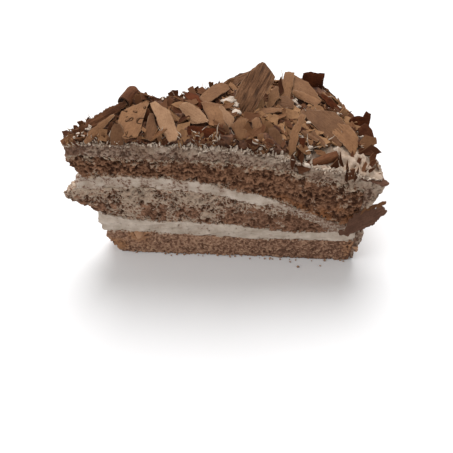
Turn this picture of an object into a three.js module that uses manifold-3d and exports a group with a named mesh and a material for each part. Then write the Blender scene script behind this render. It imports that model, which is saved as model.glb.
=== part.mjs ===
// A slice of layered chocolate cake lying on its base: three cocoa sponges with two cream
// fillings, cream over the top and down the rim, and a heap of chocolate shavings.
// Lengths are millimetres and angles are degrees. "Out" is the distance from the middle of
// the whole round cake, "round" is the angle from the slice's middle line, negative on the
// front cut and positive on the back cut.
import * as THREE from "three";
import { mergeVertices } from "three/addons/utils/BufferGeometryUtils.js";
import Module from "manifold-3d";

const wasm = await Module();
wasm.setup();

// ---- driving dimensions -------------------------------------------------------------
const SLICE_ANGLE = 28;
const LAYER_RIM_OUT = 133; // sponges and fillings end here, inside the rim cream
const GAP = 0.3; // between pieces that touch
const SHAVING_THICKNESS = 1;
const SLICE_CENTRE = new THREE.Vector3(72.95, -2.4, 0); // middle of the slice's box, on its base

// Height of each layer's top along the front cut, at these distances out. The slice has
// slumped towards the rim, where the middle sponge is squeezed away to nothing.
const STATIONS = [10, 40, 70, 90, 110, 125, 140];
const TOP_OF = {
  base: [0, 0, 0, 0, 0, 0, 0],
  sponge_bottom: [16, 16.2, 14.8, 13.8, 14.2, 15, 15],
  cream_lower: [29, 24.5, 24, 21.2, 19.4, 20.6, 21.2],
  sponge_middle: [45, 46, 43.6, 37.6, 30.6, 22.6, 21.4],
  cream_upper: [52, 53.6, 50, 43.4, 34.6, 26.8, 27],
  sponge_top: [65.5, 63.8, 63.4, 61.6, 56.5, 52.4, 46],
  cream_top: [71, 72.4, 70.8, 69.2, 63, 59.6, 56],
};

// Outer face of the rim cream: distance out at each height, with its slumped bulges.
const RIM_HEIGHTS = [0, 7, 12, 21, 25, 36, 41, 47, 60];
const RIM_OUT = [135.2, 135.4, 136.4, 137.2, 135.8, 136.2, 138.4, 140.6, 139.6];
const RIM_CREAM_FOOT = 1.2; // the rim cream stops this far above the base
const SHOULDER_FRONT = 5; // radius of the rounded top edge of the rim, at the front cut
const SHOULDER_BACK = 24; // and at the back cut

// ---- small tools --------------------------------------------------------------------
const lerp = THREE.MathUtils.lerp;
const clamp = THREE.MathUtils.clamp;
const smoothstep = THREE.MathUtils.smoothstep;
const radians = THREE.MathUtils.degToRad;

function curveThrough(places, values) {
  const curve = new THREE.CubicInterpolant(places, values, 1, new Float64Array(1));
  return (place) => curve.evaluate(clamp(place, places[0], places[places.length - 1]))[0];
}

// A value from a short list spread evenly over 0 to 1.
function alongList(list, share) {
  const place = clamp(share, 0, 1) * (list.length - 1);
  const start = Math.min(Math.floor(place), list.length - 2);
  return lerp(list[start], list[start + 1], place - start);
}

// The same crumbly unevenness, -1 to 1, for the same place and seed.
function crumb(seed, a, b, c) {
  const wave = Math.sin(a * 127.1 + b * 311.7 + c * 74.7 + seed * 53.3) * 43758.5453;
  return 2 * (wave - Math.floor(wave)) - 1;
}

function seededRandom(seed) {
  let state = seed;
  return (low, high) => {
    state = (state * 1664525 + 1013904223) % 4294967296;
    return lerp(low, high, state / 4294967296);
  };
}

// Height of a layer's top at a distance out, and where the rim cream's face is at a height.
const topOf = {};
for (const [layer, heights] of Object.entries(TOP_OF)) {
  topOf[layer] = curveThrough(STATIONS, heights);
}
const rimOut = curveThrough(RIM_HEIGHTS, RIM_OUT);

// A place in the slice, as distances along it and across it from the cake's middle, and up.
function alongSlice(out, round, height) {
  const angle = radians(round);
  return [out * Math.cos(angle), out * Math.sin(angle), height];
}

function place(out, round, height) {
  return new THREE.Vector3(...alongSlice(out, round, height)).sub(SLICE_CENTRE);
}

// A closed block bent to shape: each of its corners goes where the rule puts it.
function mappedBlock(segments, rule) {
  const geometry = new THREE.BoxGeometry(1, 1, 1, ...segments);
  const corners = geometry.attributes.position;
  const corner = new THREE.Vector3();
  for (let i = 0; i < corners.count; i += 1) {
    corner.fromBufferAttribute(corners, i).addScalar(0.5);
    const moved = rule(corner.x, corner.y, corner.z);
    corners.setXYZ(i, moved.x, moved.y, moved.z);
  }
  return geometry;
}

function toSolid(geometry) {
  geometry.deleteAttribute("normal");
  geometry.deleteAttribute("uv");
  const merged = mergeVertices(geometry, 1e-4);
  return new wasm.Manifold(
    new wasm.Mesh({
      numProp: 3,
      vertProperties: new Float32Array(merged.attributes.position.array),
      triVerts: new Uint32Array(merged.index.array),
    }),
  );
}

function toGeometry(solid) {
  const mesh = solid.getMesh();
  const geometry = new THREE.BufferGeometry();
  geometry.setAttribute("position", new THREE.BufferAttribute(mesh.vertProperties, 3));
  geometry.setIndex(new THREE.BufferAttribute(mesh.triVerts, 1));
  geometry.computeVertexNormals();
  return geometry;
}

// Cuts can leave loose scraps beside the main piece: only the main piece is kept.
function mainBody(solid) {
  const bodies = solid.decompose();
  return bodies.reduce((best, body) => (body.volume() > best.volume() ? body : best));
}

function cutBy(solid, cutters) {
  return mainBody(cutters.reduce((rest, cutter) => rest.subtract(cutter), solid));
}

// ---- sponges and fillings -----------------------------------------------------------
// tip and rim list how far out the layer starts and ends, from its underside to its top.
// proud moves both cut faces outwards, crag is how rough they are.
const LAYERS = [
  { name: "sponge_bottom", below: "base", tip: [24, 21, 18, 19], rim: [132, 133, 133, 132],
    proud: 0, crag: 0.5, seed: 1, color: "#785a4c", roughness: 0.95 },
  { name: "cream_lower", below: "sponge_bottom", tip: [18, 16.5, 16, 19], rim: [132, 133],
    proud: 0.5, crag: 0.3, seed: 2, color: "#b3a79b", roughness: 0.6 },
  { name: "sponge_middle", below: "cream_lower", tip: [20, 11, 4, 9], rim: [121, 122],
    proud: -0.2, crag: 0.7, seed: 3, color: "#7d6354", roughness: 0.95 },
  { name: "cream_upper", below: "sponge_middle", tip: [10, 13, 14], rim: [133, 133],
    proud: -0.3, crag: 0.5, seed: 4, color: "#a99c8f", roughness: 0.6 },
  { name: "sponge_top", below: "cream_upper", tip: [15, 13, 10, 11], rim: [133, 133],
    proud: 0.2, crag: 0.9, seed: 5, color: "#5f4030", roughness: 0.95 },
];
const LAYER_SEGMENTS = [21, 5, 3];

function cakeLayer({ name, below, tip, rim, proud, crag, seed }) {
  return mappedBlock(LAYER_SEGMENTS, (along, across, up) => {
    const rough = crumb(seed, along, across, up);
    const side = across === 0 ? -1 : across === 1 ? 1 : 0;
    const atTip = along === 0 ? 1 : 0;
    const out = lerp(alongList(tip, up), alongList(rim, up), along) + atTip * crag * rough;
    const sideways = side * (proud + crag * rough * (1 - along * 0.4));
    const round = (across - 0.5) * SLICE_ANGLE + THREE.MathUtils.radToDeg(sideways / out);
    const underside = topOf[below](out) + (below === "base" ? 0 : GAP / 2);
    return place(out, round, lerp(underside, topOf[name](out) - GAP / 2, up));
  });
}

// ---- cream over the top and down the rim --------------------------------------------
const TOP_STEPS = 18;
const SHOULDER_STEPS = 4;
const RIM_STEPS = 7;
const CREAM_TIP = 11;
const CREAM_CLEAR_OF_LAYERS = 0.8;
const INNER_CORNER = 2; // size of the steps round the cream's sharp inner corner

// The rounded top edge of the rim: where it starts, how far it reaches out and its middle.
function shoulderAt(round) {
  const towardsBack = clamp(0.5 + round / SLICE_ANGLE, 0, 1);
  const radius = lerp(SHOULDER_FRONT, SHOULDER_BACK, towardsBack);
  const start = Math.max(...RIM_OUT) - radius;
  const middle = topOf.cream_top(start) - radius;
  return { radius, start, middle, reach: rimOut(middle) - start };
}

function creamTop(out, round) {
  const { radius, start, middle, reach } = shoulderAt(round);
  if (out <= start) return topOf.cream_top(out);
  const share = clamp((out - start) / reach, 0, 1);
  return middle + radius * Math.sqrt(1 - share * share);
}

// The cream's two faces at one step of its path from the tip, over the shoulder, to the
// foot of the rim. Each is a distance out and a height.
function creamFaces(step, round, grow) {
  const innerOut = LAYER_RIM_OUT + CREAM_CLEAR_OF_LAYERS;
  const innerTop = topOf.sponge_top(innerOut) + GAP;
  const { radius, start, middle, reach } = shoulderAt(round);
  const firstRim = TOP_STEPS + SHOULDER_STEPS;
  if (step <= TOP_STEPS) {
    const share = step / TOP_STEPS;
    const inner = lerp(CREAM_TIP, innerOut - INNER_CORNER, share);
    const outer = lerp(CREAM_TIP, start, share);
    return [inner, topOf.sponge_top(inner) + GAP, outer, topOf.cream_top(outer) + grow];
  }
  if (step < firstRim) {
    const share = (step - TOP_STEPS) / SHOULDER_STEPS;
    const turn = (share * Math.PI) / 2;
    const inner = innerOut - INNER_CORNER * (1 - clamp(share * 2, 0, 1));
    const pastCorner = clamp(share * 2 - 1, 0, 1);
    return [
      inner,
      topOf.sponge_top(inner) + GAP - INNER_CORNER * pastCorner,
      start + (reach + grow) * Math.sin(turn),
      middle + (radius + grow) * Math.cos(turn),
    ];
  }
  const share = (step - firstRim) / RIM_STEPS;
  const innerHeight = lerp(innerTop - INNER_CORNER, RIM_CREAM_FOOT, share);
  const outerHeight = lerp(middle, RIM_CREAM_FOOT, share);
  return [innerOut, innerHeight, rimOut(outerHeight) + grow, outerHeight];
}

function topCream(grow) {
  const steps = TOP_STEPS + SHOULDER_STEPS + RIM_STEPS;
  return mappedBlock([steps, 4, 1], (along, across, up) => {
    const rough = crumb(6, along, across, up);
    const side = across === 0 ? -1 : across === 1 ? 1 : 0;
    const round = (across - 0.5) * SLICE_ANGLE;
    const [innerOut, innerHeight, outerOut, outerHeight] = creamFaces(
      Math.round(along * steps),
      round,
      grow,
    );
    const out = lerp(innerOut, outerOut, up);
    const sideways = side * (0.4 * rough + grow);
    const cutRound = round + THREE.MathUtils.radToDeg(sideways / out);
    return place(out, cutRound, lerp(innerHeight, outerHeight, up));
  });
}

// ---- large shavings -----------------------------------------------------------------
// at is the middle of each shaving: out along the slice, across it, and up. Its length
// turns to turn, then climbs by pitch, and its width tips by roll. outline lists, along
// the length, the edge on the right and the edge on the left. bend arches the length and
// curl rolls the width, both in degrees from end to end.
const TONES = { tan: "#a37d62", brown: "#82604a", dark: "#462a1d", red: "#6e4434" };
const LARGE_SHAVINGS = [
  { name: "shaving_broad_left", at: [39.7, -3, 78.3], turn: 48, pitch: 19, roll: 12,
    tone: "tan", bend: 12, curl: 0,
    outline: [[-7.9, -1.6, -0.4], [-5.3, -5.3, 2.5], [-2.5, -5.3, 5.3], [1.7, -4, 6], [10.8, -1.4, -0.4]] },
  { name: "shaving_broad_second", at: [52.5, -6.6, 78.6], turn: 100, pitch: 21, roll: -7,
    tone: "tan", bend: -10, curl: 0,
    outline: [[-9.2, -1.6, 1.2], [-6.9, -3.3, 1.9], [-4.3, -3.3, 2.8], [3.7, -3.1, 3.2], [9.8, 1, 3.4]] },
  { name: "shaving_peak", at: [90.6, 5.6, 79.3], turn: 47, pitch: 33, roll: 21,
    tone: "brown", bend: 14, curl: 0,
    outline: [[-12, -4.6, 5], [-3, -4.8, 6.2], [6, -6, 4.7], [8, -6, 3.6], [11.7, 0.4, 1.8]] },
  { name: "shaving_wing_left", at: [63.7, -5.5, 79.3], turn: -37, pitch: -14, roll: 24,
    tone: "tan", bend: -24, curl: 10,
    outline: [[-6.4, 0, 1.6], [-5, -0.8, 3.6], [1.7, -3.8, 3.1], [7, -0.2, 1]] },
  { name: "shaving_wing_right", at: [72.8, -5.2, 78.3], turn: -78, pitch: -23, roll: 8,
    tone: "tan", bend: 10, curl: 0,
    outline: [[-6.6, -3.8, -2], [-3, -3.8, 2.6], [2, -3.6, 2.9], [7, 0.4, 1.8]] },
  { name: "shaving_rounded_front", at: [80.8, -13.4, 75.9], turn: 90, pitch: 35, roll: -5,
    tone: "tan", bend: 8, curl: 18,
    outline: [[-4.8, -1.4, 1.2], [-2.4, -2.4, 2], [1.6, -3.4, 3.1], [3.6, -3.4, 0.5]] },
  { name: "shaving_strip_front", at: [103.6, -15.5, 71.3], turn: 51, pitch: 32, roll: 12,
    tone: "tan", bend: 22, curl: 0,
    outline: [[-10, -1.8, 0], [-6.6, -2.6, 1], [-0.5, -1.4, 2.2], [8, -1, 1.4]] },
  { name: "shaving_rim_broad", at: [125.5, -12.9, 62.6], turn: -52, pitch: -22, roll: 6,
    tone: "tan", bend: 16, curl: 0,
    outline: [[-9.2, -1.8, 0], [-7.6, -2.2, 2.5], [-2.2, -3.1, 5.7], [4.1, -3.9, 4.5], [8.4, -3.6, -1]] },
  { name: "shaving_elongated_back", at: [73.8, 6.9, 78.6], turn: 12, pitch: 5, roll: 14,
    tone: "tan", bend: 14, curl: 0,
    outline: [[-6.5, -1.8, 0.4], [-5, -3.8, 1], [-1, -3.2, 3], [5, -1.4, 3.7], [7.6, -0.4, 1.4]] },
  { name: "shaving_behind_peak", at: [85.5, 19.2, 73.8], turn: 16, pitch: 8, roll: 18,
    tone: "brown", bend: 10, curl: 0,
    outline: [[-6.6, -0.6, 1.4], [-3, -3.1, 2], [2.9, -1.6, 2], [7.8, 0, 1.2]] },
  { name: "shaving_front_long", at: [94.9, -17.2, 71.5], turn: 82, pitch: 42, roll: 0,
    tone: "brown", bend: 10, curl: 0,
    outline: [[-5.6, -3.2, 2.6], [0.3, -2.8, 3], [4.2, 0, 3]] },
  { name: "shaving_front_upright", at: [88.4, -18.8, 72.2], turn: 84, pitch: 50, roll: -2,
    tone: "tan", bend: 6, curl: 0,
    outline: [[-5, -1.4, 1.4], [3.3, -1.3, 1.4]] },
  { name: "shaving_square_chip", at: [88.5, -10.8, 74.4], turn: 63, pitch: 27, roll: 9,
    tone: "tan", bend: 0, curl: 14,
    outline: [[-3, -1, 1], [-1, -3, 1.6], [1.1, -1.4, 2.7], [2.8, -0.4, 1]] },
  { name: "shaving_arch_right", at: [111.7, 15.4, 68.4], turn: -41, pitch: -12, roll: 18,
    tone: "tan", bend: 12, curl: 36,
    outline: [[-7.2, -2.6, 3], [-5, -5.2, 5.6], [3.1, -3.9, 5.5], [12.2, -0.4, 0.8]] },
  { name: "shaving_curled_red", at: [115.1, 9.6, 67], turn: -49, pitch: -12, roll: 13,
    tone: "red", bend: 0, curl: 50,
    outline: [[-7, -2, -0.6], [-3, -2.7, 1.2], [5.6, -1.3, 3.2]] },
  { name: "shaving_brown_right", at: [118, -5.5, 65.6], turn: -53, pitch: -16, roll: 7,
    tone: "brown", bend: 10, curl: 0,
    outline: [[-10, -3.6, -1.6], [-7.8, -3.6, 0.5], [0.2, -4.6, 7.8], [6.3, -4.8, 7],
      [13.1, -3.8, -2.4]] },
  { name: "shaving_dark_corner", at: [121.8, 22.6, 66.6], turn: -11, pitch: -7, roll: 65,
    tone: "dark", bend: 12, curl: 20,
    outline: [[-5.3, -3.4, 1.8], [-2, -6, 2.7], [4.4, -11, 2.2]] },
  { name: "shaving_dark_band", at: [126.6, 6.4, 62.6], turn: -38, pitch: -34, roll: 15,
    tone: "dark", bend: 14, curl: 0,
    outline: [[-7.6, -0.6, 1], [-3, -1.7, 2], [8, -0.6, 0.8]] },
  { name: "shaving_fold_tip", at: [28.8, 2.6, 78], turn: 14, pitch: 18, roll: 36,
    tone: "brown", bend: -10, curl: 50,
    outline: [[-9.8, -1, 0.6], [-5, -2.4, 2.4], [3.8, -2.2, 2], [10.4, -1, 0.6]] },
  { name: "shaving_roll_back", at: [40.6, 8.2, 83.2], turn: 58, pitch: -6, roll: 20,
    tone: "dark", bend: 0, curl: 290,
    outline: [[-4.4, -6, 6.8], [0, -6.8, 6.8], [4.4, -6.2, 5.8]] },
  { name: "shaving_shaded_left", at: [46.6, -6.2, 76], turn: 63, pitch: 30, roll: 11,
    tone: "brown", bend: 0, curl: 0,
    outline: [[-5, -3.6, 2.4], [-1, -3.2, 2.2], [6, 0.8, 2.2]] },
  { name: "shaving_wing_end", at: [76.5, -7.6, 77.6], turn: -76, pitch: -23, roll: 9,
    tone: "brown", bend: 0, curl: 0,
    outline: [[-5.4, -1, 0.4], [2.1, -1.4, 3.2], [4.8, -1, 0.2]] },
  { name: "shaving_ribbed_back", at: [65.4, 5, 78.4], turn: -57, pitch: -11, roll: 10,
    tone: "dark", bend: 20, curl: 0,
    outline: [[-4, -2, 1], [0, -2, 2.4], [5.5, -1.4, 1.6]] },
  { name: "shaving_shaded_wide", at: [66.8, -14.6, 77.4], turn: -15, pitch: -8, roll: 50,
    tone: "dark", bend: 8, curl: 0,
    outline: [[-6.8, -3.2, 2], [0, -3.2, 2.2], [7.8, -2.2, 2.2]] },
  { name: "shaving_narrow_front", at: [75.6, -14.8, 75.6], turn: 96, pitch: 54, roll: -11,
    tone: "brown", bend: 8, curl: 0,
    outline: [[-4.4, -1, 1], [3.5, -1.1, 0.9]] },
  { name: "shaving_small_pointed", at: [99.3, 6.6, 72.9], turn: 56, pitch: 23, roll: 11,
    tone: "tan", bend: 0, curl: 0,
    outline: [[-6.3, -0.6, 0.6], [0, -2.5, 2.2], [4.6, -0.6, 0.8]] },
  { name: "shaving_level_middle", at: [95.1, -1.1, 72.4], turn: -11, pitch: -1, roll: 15,
    tone: "tan", bend: 8, curl: 0,
    outline: [[-3.4, -1.4, 0.8], [0, -1.6, 1.6], [5.5, -0.8, 0.8]] },
  { name: "shaving_sliver_upper", at: [110, -14.3, 67.2], turn: -37, pitch: -14, roll: 24,
    tone: "tan", bend: 0, curl: 0,
    outline: [[-4.2, -0.6, 0.6], [-2.8, -1.2, 1.2], [3.9, -1.2, 0.2]] },
  { name: "shaving_sliver_lower", at: [113.2, -15.8, 66.2], turn: -50, pitch: -20, roll: 20,
    tone: "brown", bend: 0, curl: 0,
    outline: [[-4, -1, 1.6], [4.2, -1.2, 0.4]] },
  { name: "shaving_dark_upright", at: [104.6, -20.5, 67.5], turn: 68, pitch: 54, roll: 11,
    tone: "dark", bend: 0, curl: 10,
    outline: [[-5, -1.4, 1.2], [4.1, -1.2, 1.2]] },
  { name: "shaving_plank_right", at: [107.7, 16.4, 69.8], turn: 65, pitch: 24, roll: 7,
    tone: "tan", bend: 10, curl: 0,
    outline: [[-6.6, -2.5, 2.3], [0, -2.6, 2.5], [6.4, -2, 2.2]] },
  { name: "shaving_flange_tip", at: [26.1, -3.4, 77.2], turn: 22, pitch: 23, roll: 34,
    tone: "tan", bend: 8, curl: 0,
    outline: [[-8, -1.6, -0.4], [-4, -2, 1.6], [1, -1.4, 1.6], [8.4, -0.4, 0.6]] },
  { name: "shaving_front_tip", at: [33.2, -7.3, 76.2], turn: 72, pitch: 50, roll: 8,
    tone: "brown", bend: 0, curl: 0,
    outline: [[-4.3, -2.4, 2.8], [0, -2.9, 2.9], [4.3, -1.4, 1.6]] },
  { name: "shaving_under_arch", at: [104.3, 5.4, 69.6], turn: -24, pitch: -7, roll: 24,
    tone: "brown", bend: 0, curl: 0,
    outline: [[-3.8, -2.4, 2], [0, -2.9, 2.9], [3.8, -2, 1]] },
  { name: "shaving_lobed_rim", at: [136.6, -3, 62.6], turn: -8, pitch: 0, roll: 55,
    tone: "dark", bend: 10, curl: 20,
    outline: [[-5.5, -2.6, -0.6], [-4, -4.4, 0.6], [-1.5, -6, 0.8], [0.1, -6.4, 0.2], [1.5, -5, 2.8],
      [3.6, -2.6, 1.6]] },
  { name: "shaving_rim_outer", at: [137.1, -9.6, 60], turn: -42, pitch: -47, roll: 35,
    tone: "red", bend: 10, curl: 0,
    outline: [[-4, -2.6, 1.4], [0, -4.4, 2.2], [4.4, -1.6, 0.8]] },
  { name: "shaving_rim_level", at: [131.4, -2.8, 59.8], turn: -38, pitch: -12, roll: 9,
    tone: "tan", bend: 0, curl: 0,
    outline: [[-4.2, -0.8, 0.8], [0.2, -2.3, 1.7], [3.8, -0.6, 0.6]] },
  { name: "shaving_rim_red", at: [136.4, -13.4, 57.8], turn: 25, pitch: -3, roll: 34,
    tone: "red", bend: 14, curl: 0,
    outline: [[-6, -1.2, 0.6], [0.6, -3, 3.6], [4.2, -1.2, 0.6]] },
  { name: "shaving_curl_in_cream", at: [111, -25, 62.3], turn: 3, pitch: 13, roll: 46,
    tone: "dark", bend: 0, curl: 250,
    outline: [[-9, -2.8, 2.8], [-4, -4, 4], [3, -4, 3.6], [8.6, -3, 2.8]] },
  { name: "shaving_spike_rim", at: [133.1, -32.3, 56], turn: -23, pitch: -8, roll: 27,
    tone: "red", bend: 0, curl: 0,
    outline: [[-6.3, -1.2, 0], [-4.9, -2, 1.2], [-0.7, -1.9, 1.4], [2.2, -2.3, 3], [4, -2.7, 0.5],
      [6.2, -0.9, -0.3]] },
  { name: "shaving_low_rim", at: [129.8, -35.5, 32.7], turn: 0, pitch: 30, roll: 46,
    tone: "brown", bend: 10, curl: 24,
    outline: [[-11, -2, -0.1], [-7.8, -3.1, 1], [-4.6, -3.2, 2.4], [-1.2, -3.3, 4.2], [4.8, -3.4, 3.7],
      [10.4, -2.1, 1.6], [12.5, -0.6, 0.4]] },
];

// A thin sheet with the given outline, arched along its length and rolled across its width.
function shavingSheet({ outline, bend, curl }, thickness, grow) {
  const first = outline[0][0] - grow;
  const last = outline[outline.length - 1][0] + grow;
  const places = outline.map(([along]) => along);
  places[0] = first;
  places[places.length - 1] = last;
  const rights = outline.map(([, right]) => right - grow);
  const lefts = outline.map(([, , left]) => left + grow);
  const length = last - first;
  const width = Math.max(...lefts) - Math.min(...rights);
  const lengthSteps = (outline.length - 1) * (Math.abs(bend) > 20 ? 2 : 1);
  const widthSteps = Math.abs(curl) > 120 ? 9 : Math.abs(curl) > 30 ? 4 : 2;
  return mappedBlock([lengthSteps, widthSteps, 1], (along, across, up) => {
    const piece = Math.min(Math.floor(along * (outline.length - 1)), outline.length - 2);
    const within = along * (outline.length - 1) - piece;
    const lengthwise = lerp(places[piece], places[piece + 1], within);
    const right = lerp(rights[piece], rights[piece + 1], within);
    const left = lerp(lefts[piece], lefts[piece + 1], within);
    const point = new THREE.Vector3(lengthwise, lerp(right, left, across), (up - 0.5) * thickness);
    rollUp(point, "y", radians(curl) / width);
    rollUp(point, "x", radians(bend) / length);
    return point;
  });
}

// Wraps the sheet round a cylinder below it: turnPerLength is in radians for a millimetre.
function rollUp(point, axis, turnPerLength) {
  if (Math.abs(turnPerLength) < 1e-6) return;
  const radius = 1 / turnPerLength;
  const angle = point[axis] * turnPerLength;
  const reach = radius + point.z;
  point[axis] = reach * Math.sin(angle);
  point.z = reach * Math.cos(angle) - radius;
}

function layShaving(geometry, { at, turn, pitch, roll }) {
  const tilt = new THREE.Euler(radians(roll), radians(-pitch), radians(turn), "ZYX");
  const spot = new THREE.Vector3(...at).sub(SLICE_CENTRE);
  const moved = new THREE.Matrix4().makeRotationFromEuler(tilt).setPosition(spot);
  return geometry.applyMatrix4(moved);
}

function largeShaving(shaving, grow) {
  return toSolid(layShaving(shavingSheet(shaving, SHAVING_THICKNESS + 2 * grow, grow), shaving));
}

// ---- heap of small shavings ---------------------------------------------------------
const HEAP_DEPTH = 2.8; // from the cream to the top of the packed small pieces
const HEAP_BUMP = 0.9;
const HEAP_FILL = { depth: 3.2, out: 68, width: 20 }; // more pieces where the cream dips
const HEAP_MOUND = { depth: 4, out: 45, round: 7, length: 8, breadth: 6 }; // under the rolled shaving
const HEAP_LEAST = 0.7; // its depth at the edges
const HEAP_UNDERSIDE = 0.5; // clearance under the packed small pieces
const HEAP_START = 13;
const HEAP_END = 134;
const HEAP_EDGE = 13.6; // how far round it reaches on both cuts
const HEAP_BARE_CREAM = 6.5; // degrees of bare cream at the front corner of the rim
const HEAP_BACK_THINNING = 0.8; // share of the heap's depth lost towards the back cut
const SMALL_SHAVINGS = 62;
const SMALL_LENGTH = [5, 9.5];
const SMALL_WIDTH = [2.6, 5];
const GOLDEN_SHARE = 0.618034; // steps of this share spread places evenly

function heapFrontEdge(out) {
  return -HEAP_EDGE + HEAP_BARE_CREAM * smoothstep(out, 100, 128);
}

// A soft rise to 1 at a middle, falling away on both sides of it.
function hump(value, middle, width) {
  return Math.exp(-(((value - middle) / width) ** 2));
}

function heapTop(out, round) {
  const fromTip = smoothstep(out, HEAP_START - 4, HEAP_START + 10);
  const fromRim = 1 - smoothstep(out, HEAP_END - 10, HEAP_END + 4);
  const fromBack = 1 - HEAP_BACK_THINNING * smoothstep(round, 7, HEAP_EDGE);
  const bumps = HEAP_BUMP * Math.sin(out * 0.42 + round * 0.9) * Math.cos(out * 0.23 - round * 0.7);
  const fill = HEAP_FILL.depth * hump(out, HEAP_FILL.out, HEAP_FILL.width);
  const alongMound = hump(out, HEAP_MOUND.out, HEAP_MOUND.length);
  const mound = HEAP_MOUND.depth * alongMound * hump(round, HEAP_MOUND.round, HEAP_MOUND.breadth);
  const depth = (HEAP_DEPTH + bumps + fill + mound) * fromTip * fromRim * fromBack;
  return creamTop(out, round) + HEAP_UNDERSIDE + Math.max(depth, HEAP_LEAST);
}

function heapCore() {
  return mappedBlock([18, 5, 1], (along, across, up) => {
    const rough = crumb(9, along, across, 0);
    const out = lerp(HEAP_START, HEAP_END, along);
    const side = across === 0 || across === 1 ? 0.7 * rough : 0;
    const edge = lerp(heapFrontEdge(out), HEAP_EDGE, across);
    const round = edge + THREE.MathUtils.radToDeg(side / out);
    const underside = creamTop(out, round) + HEAP_UNDERSIDE;
    return place(out, round, lerp(underside, heapTop(out, round) + 0.4 * rough * up, up));
  });
}

// A small shaving is a flat chip of five or six sides, broken off unevenly.
function chip(random, lengths, widths) {
  const length = random(...lengths);
  const width = random(...widths);
  const sides = Math.round(random(5, 6));
  const corners = [];
  for (let i = 0; i < sides; i += 1) {
    const angle = ((i + random(-0.25, 0.25)) / sides) * 2 * Math.PI;
    const reach = random(0.8, 1.1) / 2;
    corners.push(new THREE.Vector2(length * reach * Math.cos(angle), width * reach * Math.sin(angle)));
  }
  const outline = new THREE.Shape(corners);
  const across = { depth: SHAVING_THICKNESS, bevelEnabled: false };
  return new THREE.ExtrudeGeometry(outline, across).translate(0, 0, -SHAVING_THICKNESS / 2);
}

function heapOfShavings(grownCream, largeOnes) {
  const random = seededRandom(20);
  let heap = toSolid(heapCore());
  for (let i = 0; i < SMALL_SHAVINGS; i += 1) {
    const spread = (i + 0.5) / SMALL_SHAVINGS;
    const out = Math.sqrt(lerp((HEAP_START + 3) ** 2, (HEAP_END - 2) ** 2, spread));
    const round = lerp(heapFrontEdge(out) + 0.6, HEAP_EDGE - 0.6, (i * GOLDEN_SHARE) % 1);
    const at = alongSlice(out, round, heapTop(out, round) + random(-0.2, 0.9));
    const lie = { at, turn: random(0, 180), pitch: random(-36, 36), roll: random(-36, 36) };
    heap = heap.add(toSolid(layShaving(chip(random, SMALL_LENGTH, SMALL_WIDTH), lie)));
  }
  return cutBy(heap, [grownCream, ...largeOnes]);
}

// ---- shavings pressed into the cream ------------------------------------------------
const RIM_CHIPS = 11; // flat against the rim's face
const RIM_CHIP_ROUNDS = [-12, 12.5];
const RIM_CHIP_HEIGHTS = [16, 50];
const RIM_CHIP_LENGTH = [7, 11];
const RIM_CHIP_WIDTH = [3.4, 5.4];
const CORNER_CHIPS = 6; // standing in the bare cream at the front corner of the rim
const CORNER_CHIP_OUTS = [119, 133];
const CORNER_CHIP_ROUNDS = [-13.2, -10.4];
const CORNER_CHIP_LENGTH = [5, 8];
const CORNER_CHIP_WIDTH = [2.2, 3.4];

function creamWithChips() {
  const random = seededRandom(5);
  let cream = toSolid(topCream(0));
  for (let i = 0; i < RIM_CHIPS; i += 1) {
    const round = lerp(...RIM_CHIP_ROUNDS, (i + 0.5) / RIM_CHIPS);
    const height = lerp(...RIM_CHIP_HEIGHTS, (i * GOLDEN_SHARE + 0.5) % 1);
    const at = alongSlice(rimOut(height) + 0.1, round, height);
    const lie = { at, turn: round + 90 + random(-12, 12), pitch: random(-40, 40), roll: random(70, 104) };
    const piece = chip(random, RIM_CHIP_LENGTH, RIM_CHIP_WIDTH);
    cream = cream.add(toSolid(layShaving(piece, lie)));
  }
  for (let i = 0; i < CORNER_CHIPS; i += 1) {
    const out = lerp(...CORNER_CHIP_OUTS, i / (CORNER_CHIPS - 1));
    const round = random(...CORNER_CHIP_ROUNDS);
    const at = alongSlice(out, round, creamTop(out, round) + 0.2);
    const lie = { at, turn: random(40, 80), pitch: random(10, 40), roll: random(30, 75) };
    const piece = chip(random, CORNER_CHIP_LENGTH, CORNER_CHIP_WIDTH);
    cream = cream.add(toSolid(layShaving(piece, lie)));
  }
  return cream;
}

// ---- the whole slice ----------------------------------------------------------------
function addPiece(group, name, geometry, color, roughness) {
  const material = new THREE.MeshStandardMaterial({ color, roughness, metalness: 0 });
  const piece = new THREE.Mesh(geometry, material);
  piece.name = name;
  group.add(piece);
}

const slice = new THREE.Group();
for (const layer of LAYERS) {
  addPiece(slice, layer.name, cakeLayer(layer), layer.color, layer.roughness);
}

const grownShavings = LARGE_SHAVINGS.map((shaving) => largeShaving(shaving, GAP));
const cream = cutBy(creamWithChips(), grownShavings);
addPiece(slice, "cream_top", toGeometry(cream), "#b0a496", 0.55);
const heap = heapOfShavings(toSolid(topCream(GAP)), grownShavings);
addPiece(slice, "shavings_heap", toGeometry(heap), "#7a563f", 0.6);

// Each large shaving keeps clear of those listed before it, which lie on top of it.
LARGE_SHAVINGS.forEach((shaving, index) => {
  const clear = cutBy(largeShaving(shaving, 0), grownShavings.slice(0, index));
  addPiece(slice, shaving.name, toGeometry(clear), TONES[shaving.tone], 0.45);
});

export default slice;
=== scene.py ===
# A slice of layered chocolate cake, in the order a baker puts it together: three cocoa
# sponges with two cream fillings, cream over the top and down the rim, and a heap of
# chocolate shavings. Lengths are millimetres until a piece is made, angles are degrees.
import itertools
import math

import bpy
import numpy as np
from mathutils import Euler, Matrix, Vector


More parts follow.
